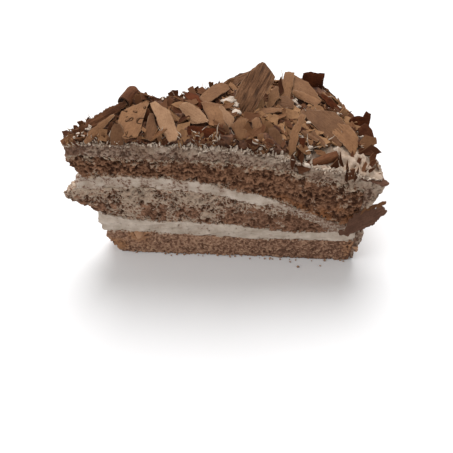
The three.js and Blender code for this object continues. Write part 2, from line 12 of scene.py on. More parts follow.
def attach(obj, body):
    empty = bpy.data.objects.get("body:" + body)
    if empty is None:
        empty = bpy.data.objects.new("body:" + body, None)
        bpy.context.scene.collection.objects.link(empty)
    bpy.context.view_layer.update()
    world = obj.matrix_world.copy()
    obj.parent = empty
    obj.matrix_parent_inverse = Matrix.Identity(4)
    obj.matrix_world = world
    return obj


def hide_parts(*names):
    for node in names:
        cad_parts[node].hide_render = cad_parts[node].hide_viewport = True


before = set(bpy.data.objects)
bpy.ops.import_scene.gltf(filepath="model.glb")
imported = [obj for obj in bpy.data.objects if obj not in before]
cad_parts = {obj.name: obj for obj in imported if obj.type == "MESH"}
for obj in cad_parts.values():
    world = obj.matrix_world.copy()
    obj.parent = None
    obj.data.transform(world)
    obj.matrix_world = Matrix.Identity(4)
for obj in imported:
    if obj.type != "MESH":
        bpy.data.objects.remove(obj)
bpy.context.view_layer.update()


# ---- Bottom sponge --------------------------------------------------------------------
# The lowest layer: fine, dry cocoa sponge, baked in a round tin. A knife has cut the
# slice from the cake, so the two cut faces show small, even pores. It stands on the plate.
# "Out" is the distance from the middle of the whole cake, "turn" the angle from the
# slice's middle line: negative towards the front cut, positive towards the back cut.
SLICE_ANGLE = 28.0
WEDGE = math.radians(SLICE_ANGLE)
SLICE_CENTRE = np.array([72.95, -2.4, 0.0])  # middle of the slice on its base
STATIONS = [10, 40, 70, 90, 110, 125, 140]  # the slice's heights are given at these outs
POINT_SPACING = 0.3  # on the cut faces
ACROSS = np.array(  # where points lie across a layer, closer together near the cuts
    [0, 0.03, 0.07, 0.12, 0.18, 0.26, 0.38, 0.5, 0.62, 0.74, 0.82, 0.88, 0.93, 0.97, 1]
)
CUT_DEPTH = 3.0  # how deep under a cut face its relief still moves the crumb


def smooth_curve(stations, heights):
    slopes = np.gradient(np.array(heights, float), stations)

    def height_at(out):
        out = np.clip(out, stations[0], stations[-1])
        start = np.clip(np.searchsorted(stations, out) - 1, 0, len(stations) - 2)
        low, high = np.take(stations, start), np.take(stations, start + 1)
        step = high - low
        share = (out - low) / step
        rest = 1 - share
        return (
            rest * rest * (1 + 2 * share) * np.take(heights, start)
            + share * share * (3 - 2 * share) * np.take(heights, start + 1)
            + share * rest * step * (rest * slopes[start] - share * slopes[start + 1])
        )

    return height_at


def uneven(places, size, seed):
    """Soft unevenness from -1 to 1, the same for the same place, with bumps a size apart."""
    cells = places / size + seed * 17.31
    corner = np.floor(cells)
    part = cells - corner
    part = part * part * (3 - 2 * part)
    total = np.zeros(len(places))
    for step in itertools.product((0, 1), repeat=3):
        wave = np.sin((corner + step) @ np.array([127.1, 311.7, 74.7]) + seed) * 43758.5453
        total += (wave - np.floor(wave)) * np.prod(np.where(step, part, 1 - part), axis=1)
    return 2 * total - 1


def soft_step(value, low, high):
    share = np.clip((value - low) / (high - low), 0, 1)
    return share * share * (3 - 2 * share)


def seam(heights, wander, torn, seed):
    """The height of the join between two layers, which strays where the knife dragged it.
    The two layers are torn into each other as far as torn above and below it."""
    level = smooth_curve(STATIONS, heights)

    def height_at(out, turn):
        inward = np.radians(SLICE_ANGLE / 2 - np.abs(turn)) * out
        places = np.stack([out, np.sign(turn) * 40, np.full_like(out, 3.7)], axis=1)
        drag = 0.7 * uneven(places, 6.0, seed) + 0.45 * uneven(places, 2.0, seed + 1)
        return level(out) + wander * drag * np.exp(-np.clip(inward, 0, None) / CUT_DEPTH)

    height_at.torn = torn
    return height_at


def along_slice(out, turn, height, sideways=0.0):
    angle = np.radians(turn)
    x = out * np.cos(angle) - sideways * np.sin(angle)
    y = out * np.sin(angle) + sideways * np.cos(angle)
    return np.stack([x, y, height], axis=-1)


def out_of(points):
    return np.hypot(points[:, 0], points[:, 1])


def into_cut(side):
    """The direction square into the slice from its front cut (-1) or its back cut (1)."""
    return np.array([math.sin(WEDGE / 2), -side * math.cos(WEDGE / 2), 0])


def block_shell(counts):
    """The points on the outside of a block of cells, as whole steps, and its faces."""
    number = np.full([n + 1 for n in counts], -1)
    outside = np.ones(number.shape, bool)
    outside[1:-1, 1:-1, 1:-1] = False
    number[outside] = np.arange(outside.sum())
    faces = []
    for axis, end in itertools.product(range(3), (0, -1)):
        side = np.take(number, end, axis=axis)
        ring = [side[:-1, :-1], side[1:, :-1], side[1:, 1:], side[:-1, 1:]]
        if (end == 0) != (axis == 1):
            ring.reverse()
        faces.append(np.stack(ring, axis=-1).reshape(-1, 4))
    return np.argwhere(outside), np.concatenate(faces)


def dents(places, inward, density, smallest, largest, seed):
    """How deep round pores cut into a face, given as a grid of places. density is pores
    for each square centimetre. With inward turned about, it is how far grains stand out."""
    random = np.random.default_rng(seed)
    along = np.linalg.norm(np.diff(places, axis=0), axis=2)[:, :-1]
    up = np.linalg.norm(np.diff(places, axis=1), axis=2)[:-1]
    area = along * up
    number = int(area.sum() / 100 * density)
    picked = random.choice(area.size, number, p=area.ravel() / area.sum())
    radii = smallest * (largest / smallest) ** (random.random(number) ** 2)
    sunk = random.uniform(-0.25, 0.75, number)
    depth = np.zeros(places.shape[:2])
    for pick, radius, sink in zip(picked, radii, sunk):
        i, k = divmod(pick, area.shape[1])
        wide = int(radius / max(along[i, k], 0.1)) + 1
        tall = int(radius / max(up[i, k], 0.1)) + 1
        near = (slice(max(i - wide, 0), i + wide + 1), slice(max(k - tall, 0), k + tall + 1))
        away = places[i, k] + inward * radius * sink - places[near]
        along_cut = away @ inward
        inside = radius**2 - (away**2).sum(axis=2) + along_cut**2
        reach = np.where(inside > 0, along_cut + np.sqrt(np.clip(inside, 0, None)), 0)
        depth[near] = np.maximum(depth[near], reach)
    return depth


def warped(places, by, size, seed):
    flat = places.reshape(-1, 3)
    shift = np.stack([uneven(flat, size, seed + axis) for axis in range(3)], axis=1)
    return places + by * shift.reshape(places.shape)


def crumb_face(grains, pores, deepest, sway=0.5):
    """The relief of a cut face of sponge: grains standing out and pores cut in. Also gives
    each point's rise, from 0 in the deepest pore to 1 on the highest grain."""

    def relief(places, inward, seed):
        torn = warped(warped(places, 0.9, 2.2, seed), 0.35, 0.8, seed + 3)
        torn = torn * [1, 1, 1.2]  # the crumb has settled, so its pores lie flat
        raised = dents(torn, -inward, *grains, seed + 1)
        pit = dents(torn, inward, *pores, seed + 2)
        flat = places.reshape(-1, 3)
        shallow = soft_step(uneven(flat, 4.5, seed + 8).reshape(pit.shape), -0.6, 0.3)
        pit = pit * (0.4 + 0.6 * shallow)
        fine = 0.22 * uneven(flat, 0.9, seed + 6).reshape(pit.shape)
        crumb = 0.55 * np.minimum(raised, 0.8) - np.minimum(pit, deepest) + fine
        shares = np.linspace(0, 1, 33)
        rise = np.interp(crumb, np.quantile(crumb, shares), shares)
        return crumb + sway * uneven(flat, 7.0, seed + 5).reshape(pit.shape), rise

    return relief


def cake_layer(under, over, tip, rim, rows, relief, seed):
    """One layer of the slice as points and faces, with the rise of each point."""
    steps = int((np.mean(rim) - np.mean(tip)) / POINT_SPACING)
    corners, faces = block_shell((steps, len(ACROSS) - 1, rows))

    def lie(along, across, up):
        start = np.interp(up, np.linspace(0, 1, len(tip)), tip)
        end = np.interp(up, np.linspace(0, 1, len(rim)), rim)
        out = start + (end - start) * along
        turn = (across - 0.5) * SLICE_ANGLE
        low, high = under(out, turn), over(out, turn)
        return out, turn, low + (high - low) * up

    def face_relief(along, across, up, inward, seed):
        shape = along.shape
        out, turn, height = lie(along.ravel(), across.ravel(), up.ravel())
        return relief(along_slice(out, turn, height).reshape(*shape, 3), inward, seed)

    row_heights = np.arange(rows + 1) / rows
    lengthways, upwards = np.meshgrid(np.arange(steps + 1) / steps, row_heights, indexing="ij")
    front, front_rise = face_relief(lengthways, 0 * upwards, upwards, into_cut(-1), seed)
    back, back_rise = face_relief(lengthways, 0 * upwards + 1, upwards, into_cut(1), seed + 40)
    crossways, upwards = np.meshgrid(ACROSS, row_heights, indexing="ij")
    rimward = np.array([1.0, 0, 0])
    point, point_rise = face_relief(0 * crossways, crossways, upwards, rimward, seed + 80)

    i, j, k = corners.T
    out, turn, height = lie(i / steps, ACROSS[j], k / rows)
    width = WEDGE * out
    near_front = np.clip(1 - ACROSS[j] * width / CUT_DEPTH, 0, 1)
    near_back = np.clip(1 - (1 - ACROSS[j]) * width / CUT_DEPTH, 0, 1)
    near_tip = np.clip(1 - i * POINT_SPACING / CUT_DEPTH, 0, 1)
    sideways = back[i, k] * near_back - front[i, k] * near_front
    sideways = np.clip(sideways, -0.3 * width, 0.3 * width)
    points = along_slice(out - point[j, k] * near_tip, turn, height, sideways)
    rise = 0.5 + (front_rise[i, k] - 0.5) * near_front + (back_rise[i, k] - 0.5) * near_back
    rise = np.clip(rise * (1 - near_tip) + point_rise[j, k] * near_tip, 0, 1)
    return points, faces, rise


def above_seam(points, height_at):
    """How far points of a cut lie above a seam on the same cut."""
    side = np.where(points[:, 1] < 0, -SLICE_ANGLE / 2, SLICE_ANGLE / 2)
    return points[:, 2] - height_at(out_of(points), side)


def from_seams(points, *seams):
    """How far points lie from the nearest of these seams, as a share of how far it is torn."""
    away = [np.abs(above_seam(points, height_at)) / height_at.torn for height_at in seams]
    return np.clip(np.min(away, axis=0), 0, 1)


def make_piece(name, points, faces, material, crease=None, **paint):
    """A mesh piece from points in millimetres, with a value for each point as its paint.
    Edges that turn by more than the crease angle stay sharp."""
    mesh = bpy.data.meshes.new(name)
    mesh.vertices.add(len(points))
    mesh.vertices.foreach_set("co", ((points - SLICE_CENTRE) / 1000).ravel())
    mesh.loops.add(faces.size)
    mesh.loops.foreach_set("vertex_index", faces.ravel().astype(np.int32))
    mesh.polygons.add(len(faces))
    mesh.polygons.foreach_set("loop_start", np.arange(0, faces.size, faces.shape[1]))
    mesh.update(calc_edges=True)
    mesh.validate()
    mesh.shade_smooth()
    if crease:
        mesh.set_sharp_from_angle(angle=math.radians(crease))
    for label, values in paint.items():
        mesh.attributes.new(label, "FLOAT", "POINT").data.foreach_set("value", values)
    mesh.materials.append(material)
    piece = bpy.data.objects.new(name, mesh)
    bpy.context.scene.collection.objects.link(piece)
    return piece


def settle(piece, slot, *nodes):
    """Fixes a finished piece to the slice, in the place of these solids."""
    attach(piece, "root")
    if nodes:
        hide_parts(*nodes)


def colour(hex_code):
    parts = [int(hex_code[i : i + 2], 16) / 255 for i in (0, 2, 4)]
    return (*[p / 12.92 if p <= 0.04045 else ((p + 0.055) / 1.055) ** 2.4 for p in parts], 1.0)


def add_node(tree, kind, inputs=(), **settings):
    """A new node of a tree, with each input given as a value or as the socket that feeds it."""
    node = tree.nodes.new(kind)
    for name, value in settings.items():
        setattr(node, name, value)
    for name, value in dict(inputs).items():
        if isinstance(value, bpy.types.NodeSocket):
            tree.links.new(value, node.inputs[name])
        else:
            node.inputs[name].default_value = value
    return node


class Finish:
    """A material under construction: each method adds a step and gives its result. A value
    may be a number, the result of a step or the name of a paint, and a surface may be the
    code of a colour."""

    def __init__(self, name, roughness, gloss):
        self.material = bpy.data.materials.new(name)
        self.material.use_nodes = True
        self.tree = self.material.node_tree
        self.shader = self.tree.nodes["Principled BSDF"]
        self.shader.inputs["Roughness"].default_value = roughness
        self.shader.inputs["Specular IOR Level"].default_value = gloss
        self.place = self.add("ShaderNodeTexCoord").outputs["Object"]

    def add(self, kind, inputs=(), **settings):
        return add_node(self.tree, kind, inputs, **settings)

    def painted(self, label):
        return self.add("ShaderNodeAttribute", attribute_name=label).outputs["Fac"]

    def value(self, given):
        return self.painted(given) if isinstance(given, str) else given

    def noise(self, size, detail=3.0, rough=0.6, place=None):
        """Cloudy noise from 0 to 1 with clouds a size apart, in millimetres."""
        place = place or self.place
        inputs = {"Vector": place, "Scale": 1000 / size, "Detail": detail, "Roughness": rough}
        return self.add("ShaderNodeTexNoise", inputs).outputs["Fac"]

    def ramp(self, value, low, high, to_low=0.0, to_high=1.0):
        value = self.value(value)
        inputs = {"Value": value, "From Min": low, "From Max": high, "To Min": to_low, "To Max": to_high}
        return self.add("ShaderNodeMapRange", inputs).outputs["Result"]

    def clouds(self, size, low, high, to_low=0.0, to_high=1.0, detail=3.0, rough=0.6):
        return self.ramp(self.noise(size, detail, rough), low, high, to_low, to_high)

    def blend(self, share, first, second):
        surfaces = [colour(given) if isinstance(given, str) else given for given in (first, second)]
        inputs = {"Factor": self.value(share), 6: surfaces[0], 7: surfaces[1]}
        return self.add("ShaderNodeMix", inputs, data_type="RGBA").outputs[2]

    def calculated(self, operation, first, second):
        inputs = {0: self.value(first), 1: self.value(second)}
        return self.add("ShaderNodeMath", inputs, operation=operation).outputs[0]

    def sum(self, first, second):
        return self.calculated("ADD", first, second)

    def less(self, first, second):
        return self.calculated("SUBTRACT", first, second)

    def times(self, first, second):
        return self.calculated("MULTIPLY", first, second)

    def ragged(self, towards):
        """1 where the layer beyond a torn seam shows: the same noise decides on both sides."""
        stray = self.clouds(1.5, 0.3, 0.7, -0.55 * towards, 0.55 * towards, 4.0, 0.65)
        return self.ramp(self.less(stray, "ragged"), -0.02, 0.05)

    def coat_with(self, surface):
        self.tree.links.new(surface, self.shader.inputs["Base Color"])

    def relief(self, height, depth, strength=1.0):
        inputs = {"Height": height, "Distance": depth / 1000, "Strength": strength}
        bump = self.add("ShaderNodeBump", inputs).outputs["Normal"]
        self.tree.links.new(bump, self.shader.inputs["Normal"])


def crumb_finish(name, light, dark, pit, cream, warm, web=0.9):
    """Cocoa sponge: dark crumb, with painted shade in its pores and a painted highlight on its
    high grains, a web of cream wiped over it by the knife, and warm patches where syrup has
    soaked in."""
    finish = Finish(name, roughness=0.9, gloss=0.2)
    rise = finish.sum("rise", finish.clouds(0.6, 0.25, 0.75, -0.32, 0.32, 4.0, 0.7))
    rise = finish.sum(rise, finish.clouds(2.4, 0.25, 0.75, -0.25, 0.25))
    # Painted shade in the pores and a painted highlight on the grains: pit, then dark, then light as the
    # crumb rises.
    crumb = finish.blend(finish.ramp(rise, 0.0, 0.4), pit, dark)
    crumb = finish.blend(finish.ramp(rise, 0.35, 1.0), crumb, light)
    crumb = finish.blend(finish.clouds(5.0, 0.35, 0.7, 0.0, 0.35), crumb, dark)
    soaked = finish.blend(finish.ramp(rise, 0.1, 0.6), crumb, warm)
    crumb = finish.blend("warm", crumb, soaked)
    stray = finish.add("ShaderNodeTexNoise", {"Vector": finish.place, "Scale": 900.0}).outputs["Color"]
    stray = finish.add("ShaderNodeVectorMath", {0: stray, 3: 0.0016}, operation="SCALE").outputs[0]
    stray = finish.add("ShaderNodeVectorMath", {0: stray, 1: finish.place}, operation="ADD").outputs[0]
    cells = finish.add(
        "ShaderNodeTexVoronoi", {"Vector": stray, "Scale": 560.0}, feature="DISTANCE_TO_EDGE"
    ).outputs["Distance"]
    strands = finish.sum(
        finish.ramp(cells, 0.04, 0.2, 0.25, -0.35), finish.ramp(rise, 0.0, 1.0, -0.5, 0.15)
    )
    wiped = finish.ramp(finish.sum("smear", strands), 0.0, 0.3)
    wiped = finish.times(wiped, finish.ramp("smear", 0.0, 0.2))
    pale = finish.blend(finish.clouds(2.0, 0.35, 0.9, 0.0, 0.7), cream, light)
    crumb = finish.blend(finish.times(wiped, web), crumb, pale)
    finish.coat_with(finish.blend(finish.ragged(1), crumb, cream))
    finish.relief(finish.noise(0.55, 4.0, 0.7), 0.4, 1.0)
    return finish.material


def base_of_slice(out, turn):
    return 0 * out


bottom_top = seam([16, 16.2, 14.8, 13.8, 14.2, 15, 15], wander=0.35, torn=2.0, seed=11)
points, faces, rise = cake_layer(
    base_of_slice, bottom_top, tip=[24, 21, 18, 19], rim=[133, 134, 134, 134], rows=44,
    relief=crumb_face((120, 0.3, 0.75), (80, 0.2, 0.6), 0.7), seed=101,
)
points[:, 2] = np.clip(points[:, 2], 0, None)
out = out_of(points)
near_cream = soft_step(points[:, 2], 12, 16.5)
smear = 0.55 * soft_step(uneven(points, 3.0, 12) + 1.6 * near_cream, 0.9, 1.9)
warm = 0.7 * soft_step(uneven(points, 9.0, 14) + 0.5 * (1 - soft_step(out, 25, 60)), 0.45, 1.0)
warm = np.maximum(warm, 0.6 * soft_step(out + 3 * uneven(points, 3.0, 15), 127, 133))
bottom_sponge = make_piece(
    "bottom_sponge_crumb", points, faces,
    crumb_finish("fine_cocoa_crumb", "bf9a7e", "8a6652", "5a3e30", "c2b09e", "ab7a52"),
    rise=rise - 0.2 * soft_step(out, 75, 110), smear=smear, warm=warm,
    ragged=from_seams(points, bottom_top),
)
settle(bottom_sponge, "sponge_light", "sponge_bottom")


# ---- Lower cream ----------------------------------------------------------------------
# Whipped cream spread on the bottom sponge. The knife has drawn it along the cut, which
# leaves soft slanting folds, and the sponge above has sunk into it towards the rim.
def cream_face(slant):
    """The relief of cut cream: folds drawn along the cut, and small bubbles."""

    def relief(places, inward, seed):
        flat = places.reshape(-1, 3)
        drawn = flat * [0.22, 0.22, 1] + np.outer(flat[:, 0] * slant, [0, 0, 1])
        folds = 1 - np.abs(uneven(drawn, 3.4, seed))
        ripple = uneven(drawn, 1.5, seed + 1)
        lumps = uneven(flat, 5.0, seed + 2)
        height = 0.9 * folds + 0.35 * ripple + 0.5 * lumps - 0.5
        bubbles = dents(places, inward, 9, 0.2, 0.6, seed + 3)
        return height.reshape(places.shape[:2]) - bubbles, 1 - np.clip(bubbles / 0.6, 0, 1)

    return relief


def cream_finish(name, light, shade, veiled, speck):
    """Whipped cream with cocoa crumbs wiped into it by the knife, soft patches of painted light
    and painted shade, and painted shade where its rise is low.
    """
    finish = Finish(name, roughness=0.55, gloss=0.3)
    # Soft patches of painted light and painted shade over the cream.
    body = finish.blend(finish.clouds(6.0, 0.3, 0.7), shade, light)
    veil = finish.times("crumbed", finish.clouds(2.6, 0.35, 0.65, 0.2, 0.85))
    body = finish.blend(veil, body, veiled)
    crumbs = finish.less(finish.noise(1.3, 4.0, 0.65), finish.ramp("crumbed", 0.0, 1.0, 0.72, 0.5))
    body = finish.blend(finish.ramp(crumbs, 0.0, 0.05), body, speck)
    # Painted shade where the rise is low: in bubbles and pores, under the drops and at the foot of the tufts.
    body = finish.blend(finish.ramp("rise", 0.0, 0.35, 0.75, 0.0), body, speck)
    crumb = finish.blend(finish.clouds(0.8, 0.35, 0.6, detail=4.0), speck, veiled)
    finish.coat_with(finish.blend(finish.ragged(-1), body, crumb))
    finish.relief(finish.noise(1.1, 4.0, 0.6), 0.4, 0.8)
    finish.shader.inputs["Subsurface Weight"].default_value = 0.12
    finish.shader.inputs["Subsurface Radius"].default_value = (0.0024, 0.0022, 0.002)
    return finish.material


whipped_cream = cream_finish("whipped_cream", "cbbcae", "a49484", "8d7461", "6b4a37")
lower_top = seam([29, 24.5, 24, 21.2, 19.4, 20.6, 21.2], wander=0.9, torn=1.5, seed=21)
points, faces, rise = cake_layer(
    bottom_top, lower_top, tip=[18, 16.5, 16, 19], rim=[134, 134], rows=30,
    relief=cream_face(slant=-0.2), seed=201,
)
lower_cream = make_piece(
    "lower_cream_fold", points, faces, whipped_cream,
    rise=rise, crumbed=0.6 * soft_step(uneven(points, 4.0, 22), 0.3, 0.7),
    ragged=from_seams(points, bottom_top, lower_top),
)
settle(lower_cream, "cream", "cream_lower")


# ---- Middle sponge --------------------------------------------------------------------
# A more open cocoa sponge. The knife has wiped cream over its cut face, so that the pores
# show dark through a pale web, less so towards the rim, where it is squeezed to nothing.
middle_top = seam([45, 46, 43.6, 37.6, 30.6, 22.6, 21.4], wander=0.9, torn=3.0, seed=31)
points, faces, rise = cake_layer(
    lower_top, middle_top, tip=[20, 11, 4, 9], rim=[121, 122], rows=64,
    relief=crumb_face((70, 0.35, 0.8), (70, 0.3, 1.25), 1.4), seed=301,
)
out = out_of(points)
smear = 0.12 + 0.4 * uneven(points, 8.0, 32) + 0.4 * uneven(points, 2.2, 33)
smear -= 0.25 * soft_step(out, 50, 92)
from_foot = points[:, 2] - lower_top(out, np.full_like(out, -SLICE_ANGLE / 2))
smear += 0.4 * soft_step(from_foot, 5, 16) * (1 - soft_step(out, 80, 115))
rise += 0.45 * (0.55 - rise) * soft_step(out, 62, 92)  # the crumb is finer towards the rim
middle_sponge = make_piece(
    "middle_sponge_crumb", points, faces,
    crumb_finish("open_cocoa_crumb", "a37b62", "6c4b39", "452d20", "bfad9a", "8a5a38", 0.85),
    rise=rise, smear=np.clip(smear, 0, 1), warm=0 * rise,
    ragged=from_seams(points, lower_top, middle_top),
)
settle(middle_sponge, "sponge_smeared", "sponge_middle")


# ---- Upper cream ----------------------------------------------------------------------
# The second filling of whipped cream: a broad band near the tip that thins to a smear
# between the two sponges at the rim, with crumbs dragged into it.
upper_top = seam([52, 53.6, 50, 43.4, 34.6, 26.8, 27], wander=1.3, torn=3.0, seed=41)


def upper_cream_foot(out, turn):
    """It lies on the middle sponge and, past that sponge's end, on the lower cream."""
    past_end = soft_step(out, 117, 121)
    return middle_top(out, turn) * (1 - past_end) + lower_top(out, turn) * past_end


points, faces, rise = cake_layer(
    upper_cream_foot, upper_top, tip=[10, 13, 14], rim=[134, 134], rows=26,
    relief=cream_face(slant=-0.12), seed=401,
)
out = out_of(points)
crumbed = uneven(points, 3.0, 42) + 0.5 * uneven(points, 9.0, 43) + 1.5 * soft_step(out, 85, 125)
crumbed = soft_step(crumbed + 0.6 * (1 - soft_step(out, 15, 60)), -0.5, 0.7)
ragged = from_seams(points, middle_top, upper_top) * (1 - 0.55 * soft_step(out, 92, 116))
upper_cream = make_piece(
    "upper_cream_smear", points, faces, whipped_cream, rise=rise, crumbed=crumbed, ragged=ragged
)
settle(upper_cream, "cream", "cream_upper")


# ---- Top sponge -----------------------------------------------------------------------
# The darkest and coarsest of the sponges, torn open by the knife: big dark pits between
# pale grains, and orange-brown where syrup has soaked its lower edge.
top_of_sponge = seam([65.5, 63.8, 63.4, 61.6, 56.5, 52.4, 46], wander=1.2, torn=6.0, seed=51)
points, faces, rise = cake_layer(
    upper_top, top_of_sponge, tip=[15, 13, 10, 11], rim=[134, 134], rows=58,
    relief=crumb_face((110, 0.3, 0.9), (80, 0.25, 1.1), 1.3, 0.7), seed=501,
)
out = out_of(points)
from_foot = above_seam(points, upper_top)
smear = 0.25 * uneven(points, 5.0, 52) + 0.3 * uneven(points, 1.8, 53) - 0.16
smear += 0.45 * (1 - soft_step(-above_seam(points, top_of_sponge), 0, 6))
smear += 0.3 * (1 - soft_step(from_foot, 0, 4))
soaked = 1 - soft_step(from_foot, 0, 6 + 8 * soft_step(out, 95, 115))
warm = soft_step(0.8 * uneven(points, 6.0, 54) + 1.3 * soaked, 0.4, 1.4)
warm *= soft_step(out, 80, 112)
top_sponge = make_piece(
    "top_sponge_crumb", points, faces,
    crumb_finish("coarse_cocoa_crumb", "9b7257", "5f3e2b", "3e2518", "b8a692", "8b5a37", 0.7),
    rise=rise, smear=np.clip(smear, 0, 1), warm=0.85 * warm,
    ragged=from_seams(points, upper_top, top_of_sponge),
)
settle(top_sponge, "sponge_dark", "sponge_top")


# ---- Cream over the top and rim -------------------------------------------------------
# One coat of whipped cream over the top sponge, rounded over the edge and down the rim to
# the foot. It lies bare at the front corner of the rim, in soft lumps.
RIM_HEIGHTS = [0, 7, 12, 21, 25, 36, 41, 47, 60]
RIM_OUTS = [135.2, 135.4, 136.4, 137.2, 135.8, 136.2, 138.4, 140.6, 139.6]
RIM_FOOT = 1.2
SHOULDER_RADII = (5, 24)  # of the rounded top edge, at the front cut and at the back cut
CREAM_STARTS = 11
LAYERS_END = 133.8
INNER_CORNER = 2
TOP_STEPS, SHOULDER_STEPS, RIM_STEPS = 330, 40, 96
CREAM_ROWS = 22
CREAM_ACROSS = 66

cream_level = smooth_curve(STATIONS, [71, 72.4, 70.8, 69.2, 63, 59.6, 56])
rim_out = smooth_curve(RIM_HEIGHTS, RIM_OUTS)


def hump(value, middle, width):
    return np.exp(-(((value - middle) / width) ** 2))


def shoulder(turn):
    """The rounded top edge of the rim: its radius, where it starts, its middle and reach."""
    towards_back = np.clip(0.5 + turn / SLICE_ANGLE, 0, 1)
    radius = SHOULDER_RADII[0] + (SHOULDER_RADII[1] - SHOULDER_RADII[0]) * towards_back
    start = max(RIM_OUTS) - radius
    middle = cream_level(start) - radius
    return radius, start, middle, rim_out(middle) - start


def cream_height(out, turn):
    radius, start, middle, reach = shoulder(turn)
    share = np.clip((out - start) / reach, 0, 1)
    return np.where(out <= start, cream_level(out), middle + radius * np.sqrt(1 - share * share))


def cream_path(step, turn):
    """The cream's inner and outer face on its path from the tip over the shoulder to the
    foot of the rim: two pairs of out and height."""
    radius, start, middle, reach = shoulder(turn)
    on_top = np.clip(step / TOP_STEPS, 0, 1)
    round_edge = np.clip((step - TOP_STEPS) / SHOULDER_STEPS, 0, 1)
    on_rim = np.clip((step - TOP_STEPS - SHOULDER_STEPS) / RIM_STEPS, 0, 1)
    inner_out = CREAM_STARTS + (LAYERS_END - INNER_CORNER - CREAM_STARTS) * on_top
    inner_out += INNER_CORNER * np.clip(round_edge * 2, 0, 1)
    inner_height = top_of_sponge(inner_out, turn) - INNER_CORNER * np.clip(round_edge * 2 - 1, 0, 1)
    inner_height += (RIM_FOOT - inner_height) * on_rim
    outer_out = CREAM_STARTS + (start - CREAM_STARTS) * on_top
    outer_height = cream_level(outer_out)
    bend = round_edge * math.pi / 2
    outer_out = np.where(round_edge > 0, start + reach * np.sin(bend), outer_out)
    outer_height = np.where(round_edge > 0, middle + radius * np.cos(bend), outer_height)
    outer_height = outer_height + (RIM_FOOT - outer_height) * on_rim
    outer_out = np.where(on_rim > 0, rim_out(outer_height), outer_out)
    return (inner_out, inner_height), (outer_out, outer_height)


steps = TOP_STEPS + SHOULDER_STEPS + RIM_STEPS
corners, faces = block_shell((steps, CREAM_ACROSS, CREAM_ROWS))
i, j, k = corners.T
across = 0.5 - 0.5 * np.cos(math.pi * j / CREAM_ACROSS)  # closer together near the cuts
turn = (across - 0.5) * SLICE_ANGLE
(inner_out, inner_height), (outer_out, outer_height) = cream_path(i.astype(float), turn)
up = k / CREAM_ROWS
out = inner_out + (outer_out - inner_out) * up
height = inner_height + (outer_height - inner_height) * up
flat = along_slice(out, turn, height)
thick = np.hypot(outer_out - inner_out, outer_height - inner_height)
lumps = 1.0 * uneven(flat, 5.5, 61) + 0.6 * uneven(flat, 2.3, 62) + 0.3 * uneven(flat, 1.0, 63)
bare = soft_step(out, 112, 122) * (1 - soft_step(turn, -9, -5)) * soft_step(height, 46, 54)
lumps += bare * (1.6 * (1 - 2 * np.abs(uneven(flat, 2.6, 64))) + 0.8 * uneven(flat, 1.2, 65))
# It gives way where a curl of chocolate lies in it.
in_curl = hump(out, 109, 6) * (1 - soft_step(turn, -12.5, -10)) * soft_step(height, 56, 60)
lumps -= 2.4 * in_curl
swell = 0.75 * lumps * up * soft_step(np.minimum(height, 10), 2, 6)
across_path = np.stack([outer_out - inner_out, outer_height - inner_height], axis=1)
across_path /= np.maximum(thick, 0.01)[:, None]
out, height = out + swell * across_path[:, 0], height + swell * across_path[:, 1]
torn_cream = crumb_face((45, 0.4, 1.1), (45, 0.3, 1.0), 1.2, 0.6)
sideways, rise = np.zeros(len(out)), np.full(len(out), 0.6)
for edge, sign in ((0, -1), (CREAM_ACROSS, 1)):
    face = j == edge
    places = np.zeros((steps + 1, CREAM_ROWS + 1, 3))
    places[i[face], k[face]] = flat[face]
    relief, face_rise = torn_cream(places, into_cut(sign), 61 + edge)
    from_cut = np.abs(across - edge / CREAM_ACROSS) * WEDGE * out
    near = np.clip(1 - from_cut / CUT_DEPTH, 0, 1)
    sideways += sign * relief[i, k] * near
    rise += (face_rise[i, k] - 0.6) * np.clip(1 - from_cut / 0.8, 0, 1)
sideways = np.clip(sideways, -0.3 * out * WEDGE, 2) + 1.5 * in_curl
points = along_slice(out, turn, height, sideways)
on_cut = np.clip(1 - np.minimum(across, 1 - across) * WEDGE * out / 1.5, 0, 1)
near_sponge = 1 - soft_step(up * thick, 1.0, 6.5)
crumbed = uneven(flat, 4.0, 67) + 1.2 * near_sponge + 0.6 * uneven(flat, 1.5, 68)
crumbed += 0.8 * (1 - soft_step(out, 40, 85))
crumbed = soft_step(crumbed - 0.8 * bare, -0.2, 1.2)
crumbed = crumbed * (0.55 + 0.45 * on_cut) + 0.06 * soft_step(-height, -52, -40)
# An even veil over the top, off the cuts: partly crumbs, partly painted shade where the overhead light falls.
crumbed = np.clip(crumbed + 0.12 * (1 - on_cut), 0, 1)
ragged = np.where(on_cut > 0.3, np.clip(up * thick / 6, 0, 1), 1)
ragged = ragged * soft_step(out, 14, 24) - 0.3 * (1 - soft_step(out, 14, 21))  # bare crumb at the tip
top_cream = make_piece(
    "top_cream_coat", points, faces,
    cream_finish("top_cream", "b3a08f", "8d7662", "7c5a45", "563a29"),
    rise=rise, crumbed=crumbed, ragged=ragged,
)
settle(top_cream, "cream", "cream_top")
top_edge = (i <= TOP_STEPS + 12) & ((1 - up) * thick < 1.4)  # where tufts of cream stand up
cream_tuft_cover = (top_edge & ((j == 0) | (j == CREAM_ACROSS))).astype(float)


